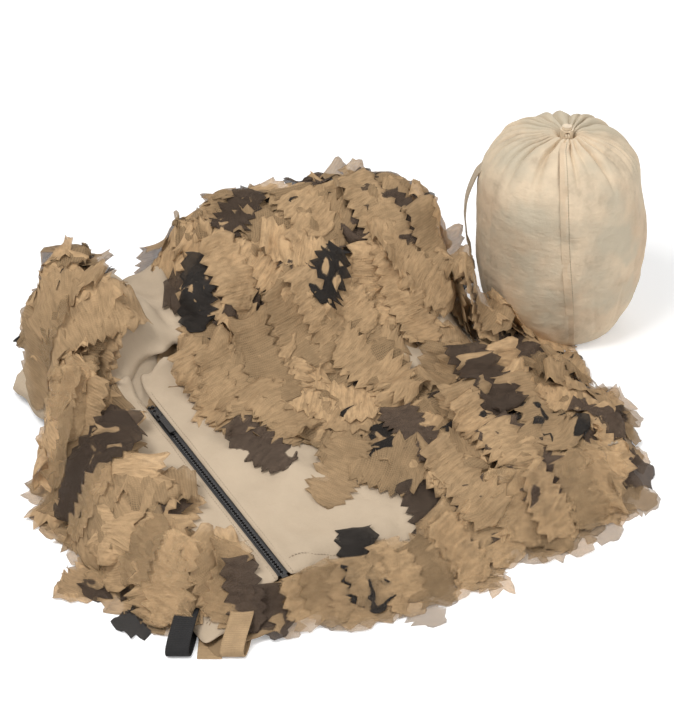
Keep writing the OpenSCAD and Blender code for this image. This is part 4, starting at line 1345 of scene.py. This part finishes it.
class GHILLIE_OT_webbing(Operator):
    """Lay the webbing loops and the loose tail that come out under the hem"""
    bl_idname = "ghillie.webbing"
    bl_label = "Webbing"

    def execute(self, context):
        for node, slot in (("webbing_loop_tan", "tan_webbing"), ("webbing_loop_black", "black_webbing")):
            low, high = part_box(node)
            x, y, z = (low.x + high.x) / 2, low.y, high.z
            deep = high.y - low.y
            # From under the hem, down to the floor and back
            bends = np.array([
                (x + 0.005, high.y + 0.004, z + 0.004),
                (x + 0.004, y + deep * 0.74, z * 0.98),
                (x + 0.001, y + deep * 0.48, z * 0.84),
                (x - 0.003, y + deep * 0.22, z * 0.58),
                (x - 0.005, y + deep * 0.04, z * 0.30),
                (x - 0.003, y + deep * 0.05, z * 0.10),
                (x, y + deep * 0.3, 0.0014),
                (x + 0.002, y + deep * 0.6, 0.0014),
                (x + 0.003, high.y, 0.0016),
            ])
            line = [tuple(p) for p in spline_weights(np.linspace(0, 1, 37), len(bends)) @ bends]
            # The strap twists a little in the air, and lies flat from its twentieth point on
            turns = [0.30 * math.sin(math.pi * min(k, 20) / 20) for k in range(len(line))]
            sides = [(math.cos(a), -0.5 * math.sin(a), 0.3 * math.sin(a)) for a in turns]
            obj, length = ribbon(node.replace("webbing_", "") + "_band", line, sides,
                                 high.x - low.x, 0.0016, finish_of(slot))
            self.declare(obj, node, slot, high.x - low.x, length)
        low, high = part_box("webbing_tail")
        x = (low.x + high.x) / 2
        line = [(x, low.y + 0.010 * k, low.z + 0.0012) for k in range(7)]
        obj, length = ribbon("webbing_tail_band", line, [(1, 0, 0)] * 7, high.x - low.x, 0.0014,
                             finish_of("tan_webbing"))
        self.declare(obj, "webbing_tail", "tan_webbing", high.x - low.x, length)
        return {"FINISHED"}

    def declare(self, obj, node, slot, width, length):
        """Put a strap on the suit in place of its CAD solid."""
        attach(obj, "suit")
        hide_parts(node)


class GHILLIE_OT_bands(Operator):
    """Gather the cuffs and the trousers' waist on their elastic"""
    bl_idname = "ghillie.bands"
    bl_label = "Cuffs and waist"

    # How much longer the cloth is than the elastic that gathers it
    GATHER = 1.35

    def ring(self, name, middle, way, radius_x, radius_z, width, nodes, ribs):
        """A flattened elastic ring with gathers."""
        bm = bmesh.new()
        uv = bm.loops.layers.uv.verify()
        made = bmesh.ops.create_grid(bm, x_segments=ribs * 4, y_segments=6, size=1.0)["verts"]
        flat = {}
        side = Vector((-way.y, way.x, 0))
        for v in made:
            round_it, on = v.co.x * math.pi, v.co.y
            flat[v] = (v.co.x * radius_x * 2.2, v.co.y * width / 2)
            puff = 1 + 0.06 * math.cos(ribs * round_it) + 0.08 * math.cos(on * math.pi / 2)
            across = math.cos(round_it)
            up = Vector((0, 0, math.sin(round_it) * radius_z * puff))
            v.co = middle + side * (across * radius_x * puff) + up + way * (on * width / 2)
        for face in bm.faces:
            for loop in face.loops:
                loop[uv].uv = flat[loop.vert]
        bmesh.ops.remove_doubles(bm, verts=bm.verts, dist=0.0002)
        obj = new_object(name, bm, finish_of("elastic"))
        thicken(obj, 0.0016)
        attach(obj, "suit")
        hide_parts(*nodes)

    def execute(self, context):
        for node, name, turn in (("jacket_cuff_right", "cuff_right_band", TURN + math.pi / 2),
                                 ("jacket_cuff_left", "cuff_left_band", TURN - math.pi / 2)):
            low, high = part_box(node)
            way = Vector((math.cos(turn), math.sin(turn), 0))
            middle = (low + high) / 2
            wide = 0.046 if "right" in name else 0.022
            self.ring(name, middle, way, wide, (high.z - low.z) / 2 * 0.84, 0.028, [node], 22)
        low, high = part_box("trousers_waistband")
        turn = math.radians(18)
        way = Vector((-math.sin(turn), math.cos(turn), 0))
        middle = (low + high) / 2
        self.ring("trousers_waist_band", middle + Vector((0, 0, 0.004)), way, 0.070, 0.006, 0.036,
                  ["trousers_waistband", "trousers_waist_elastic"], 30)
        return {"FINISHED"}


class GHILLIE_OT_sack(Operator):
    """Build the stuffed sack with its gathers, seam and strap"""
    bl_idname = "ghillie.sack"
    bl_label = "Stuff sack"

    def execute(self, context):
        look = context.scene.ghillie_sack
        low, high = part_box("sack_wall")
        middle = (low + high) / 2
        height = high.z
        radius = (high.x - low.x) / 2
        self.wall(look, middle, height, radius)
        self.small_parts(look, middle, height, radius)
        return {"FINISHED"}

    # The wall's grid, and its radius as a share of the CAD's
    ROWS = 76
    AROUND = 288
    SLIM = 0.985
    # Angle between the seam's stitches and its middle, and the pitch of the stitches
    SEAM_HALF = 0.052
    STITCH = 0.0034
    # Widths of the seam's band and of the carry strap
    SEAM_WIDTH = 0.0102
    STRAP_WIDTH = 0.020
    # Height and radius of the sack from its base to its mouth, as shares of the whole
    PROFILE = ((0.000, 0.57), (0.008, 0.64), (0.05, 0.755), (0.16, 0.90), (0.30, 0.98), (0.46, 1.0),
               (0.62, 0.985), (0.75, 0.95), (0.85, 0.875), (0.93, 0.72), (0.975, 0.50), (0.985, 0.33),
               (0.992, 0.235), (0.990, 0.165), (0.975, 0.110), (0.952, 0.076))

    def shape(self, look, middle, height, radius, share, angle):
        """A point of the sack's wall at a share of its profile and an angle."""
        z_share, r_share = share
        around = Vector((math.cos(angle), math.sin(angle), 0))
        # The gathers start at different heights, run uneven round the mouth and stop at the seam
        start = 0.76 + 0.16 * noise.noise(around * 2.6 + Vector((0, 0, 9)))
        top = min(1.0, max(0.0, (z_share - start) / 0.20))
        uneven = 1.6 * math.sin(2 * angle + 0.4) + 0.9 * math.sin(5 * angle + 1)
        pleat = (1 - abs(math.sin(look.pleats * angle / 2 + uneven + z_share))) ** 1.6
        depth = 0.35 + 1.6 * abs(noise.noise(around * 3.1))
        off_seam = 1 - math.exp(-((angle - self.seam_at(z_share)) / 0.08) ** 2)
        deep = depth * off_seam * top * max(0.30, min(1.0, (r_share - 0.10) / 0.18))
        r = radius * r_share * (1 - 0.055 * deep * pleat)
        z = height * z_share - 0.013 * deep * pleat
        back = max(0.0, math.sin(angle)) * max(0.0, min(1.0, (r_share - 0.18) / 0.25))
        rim = 0.006 * noise.noise(around * 2.3 + Vector((0, 0, 4))) * min(1.0, r_share * 2)
        z += top * (0.008 * back + rim)
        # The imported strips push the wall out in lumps, with creases between them
        r *= 1 + 0.012 * math.sin(2 * angle + 0.6) + 0.008 * math.sin(3 * angle + 5 * z_share)
        lumps = noise.noise(around * 1.8 + Vector((0, 0, z_share * 3.2)))
        dents = noise.noise(around * 4.0 + Vector((3, 0, z_share * 6.5)))
        here = around * 2.1 + Vector((0, 0, z_share * 3.4 + 0.5 * math.sin(2 * angle)))
        crease = max(0.0, 1 - abs(noise.noise(here)) * 5.5)
        fine = max(0.0, 1 - abs(noise.noise(here * 2.6 + Vector((5, 0, 0)))) * 4)
        full = float(smoothstep(0.0, 0.12, z_share) * (1 - smoothstep(0.90, 0.96, z_share)))
        r *= 1 + full * (0.045 * lumps + 0.018 * dents - 0.012 * crease - 0.006 * fine)
        bulge = math.exp(-((angle + 0.1) / 0.5) ** 2 - ((z_share - 0.50) / 0.12) ** 2)
        flat = math.exp(-((angle + 0.1) / 0.6) ** 2 - ((z_share - 0.72) / 0.10) ** 2)
        r += 0.004 * bulge - 0.004 * flat
        lean = look.lean * (0.5 - z_share) * min(1.0, max(0.0, (r_share - 0.15) / 0.3))
        return Vector((middle.x + r * math.cos(angle) + lean, middle.y + r * math.sin(angle), z))

    def seam_at(self, z_share):
        """The angle of the seam, which runs aside towards the base."""
        return -math.pi / 2 - 0.02 + 0.20 * max(0.0, 1 - z_share) ** 2

    def shares(self):
        """The profile read at each row of the wall."""
        weights = spline_weights(np.linspace(0, 1, self.ROWS + 1), len(self.PROFILE))
        return weights @ np.array(self.PROFILE)

    def wall(self, look, middle, height, radius):
        """The lofted wall from the base to the gathered mouth."""
        shares = self.shares()
        bm = bmesh.new()
        made = bmesh.ops.create_grid(bm, x_segments=self.AROUND, y_segments=self.ROWS, size=1.0)["verts"]
        for v in made:
            angle = v.co.x * math.pi
            row = round((v.co.y + 1) / 2 * self.ROWS)
            v.co = self.shape(look, middle, height, radius * self.SLIM, shares[row], angle)
        bmesh.ops.remove_doubles(bm, verts=bm.verts, dist=0.00005)
        bottom = [e for e in bm.edges if e.is_boundary and sum(v.co.z for v in e.verts) / 2 < 0.05]
        bmesh.ops.edgeloop_fill(bm, edges=bottom)
        bmesh.ops.recalc_face_normals(bm, faces=bm.faces)
        for v in bm.verts:
            v.co.z = max(v.co.z, 0.0006)
        wall = new_object("sack_wall_cloth", bm, finish_of("sack_cloth"))
        thicken(wall, 0.0008, offset=-1.0)
        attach(wall, "sack")
        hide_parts("sack_wall", "sack_base", "sack_filling", "sack_cord_channel")

    def small_parts(self, look, middle, height, radius):
        """Seam, drawcord, carry strap and cord lock."""
        shares = self.shares()
        line, edge = [], []
        for row in range(3, 60):
            angle = self.seam_at(shares[row][0])
            for path, more in ((line, -self.SEAM_HALF), (edge, 0.0)):
                p = self.shape(look, middle, height, radius * self.SLIM, shares[row], angle + more)
                p.z = max(p.z, 0.0015)
                path.append(p + Vector((math.cos(angle), math.sin(angle), 0)) * 0.0001)
        seam, length = ribbon("sack_seam_band", line, [(1, 0, 0)] * len(line), self.SEAM_WIDTH, 0.0005,
                              finish_of("sack_seam"))
        self.keep(seam, "sack_seam_tape", "sack_cloth", self.SEAM_WIDTH, length)
        stitches("sack_seam_stitches", edge, self.STITCH, finish_of("thread"), "sack")
        low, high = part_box("sack_carry_strap")
        spots = [v.co for v in NODES["sack_carry_strap"].data.vertices]
        line, parts = [], 12
        for k in range(parts + 1):
            z = low.z + (high.z - low.z) * k / parts
            near = [p for p in spots if abs(p.z - z) < (high.z - low.z) / parts]
            line.append((sum(p.x for p in near) / len(near), (low.y + high.y) / 2, z))
        strap, length = ribbon("sack_strap_band", line, [(0, 1, 0)] * len(line), self.STRAP_WIDTH, 0.0016,
                               finish_of("strap_band"))
        self.keep(strap, "sack_carry_strap", "sack_cloth", self.STRAP_WIDTH, length)
        for node in ("cord_lock_barrel", "cord_lock_button"):
            dress(node, "lock_plastic")
        dress("cord_lock_spring", "spring_steel")
        dress("sack_drawcord", "drawcord")

    def keep(self, obj, node, slot, width, length):
        """Put a band on the sack in place of its CAD solid."""
        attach(obj, "sack")
        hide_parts(node)


OPERATORS = (GHILLIE_OT_stage, GHILLIE_OT_heap, GHILLIE_OT_garments, GHILLIE_OT_strips, GHILLIE_OT_zip,
             GHILLIE_OT_webbing, GHILLIE_OT_bands, GHILLIE_OT_sack)


class GHILLIE_PT_panel(Panel):
    """The operators and their sizes in the sidebar"""
    bl_label = "Leaf-strip suit"
    bl_idname = "GHILLIE_PT_panel"
    bl_space_type = "VIEW_3D"
    bl_region_type = "UI"
    bl_category = "Ghillie"

    def draw(self, context):
        for operator in OPERATORS:
            self.layout.operator(operator.bl_idname)
        scene = context.scene
        for group in (scene.ghillie_cloth, scene.ghillie_strips, scene.ghillie_sack):
            box = self.layout.box()
            for name in group.bl_rna.properties.keys():
                if name not in ("rna_type", "name"):
                    box.prop(group, name)


CLASSES = (GHILLIE_PG_cloth, GHILLIE_PG_strips, GHILLIE_PG_sack, *OPERATORS, GHILLIE_PT_panel)


def register():
    for item in CLASSES:
        bpy.utils.register_class(item)
    bpy.types.Scene.ghillie_cloth = PointerProperty(type=GHILLIE_PG_cloth)
    bpy.types.Scene.ghillie_strips = PointerProperty(type=GHILLIE_PG_strips)
    bpy.types.Scene.ghillie_sack = PointerProperty(type=GHILLIE_PG_sack)


def unregister():
    for name in ("ghillie_cloth", "ghillie_strips", "ghillie_sack"):
        delattr(bpy.types.Scene, name)
    for item in reversed(CLASSES):
        bpy.utils.unregister_class(item)


def main():
    register()
    bpy.ops.ghillie.stage()
    bpy.ops.ghillie.heap()
    bpy.ops.ghillie.garments()
    bpy.ops.ghillie.strips()
    bpy.ops.ghillie.zip()
    bpy.ops.ghillie.webbing()
    bpy.ops.ghillie.bands()
    bpy.ops.ghillie.sack()


if __name__ == "__main__":
    main()
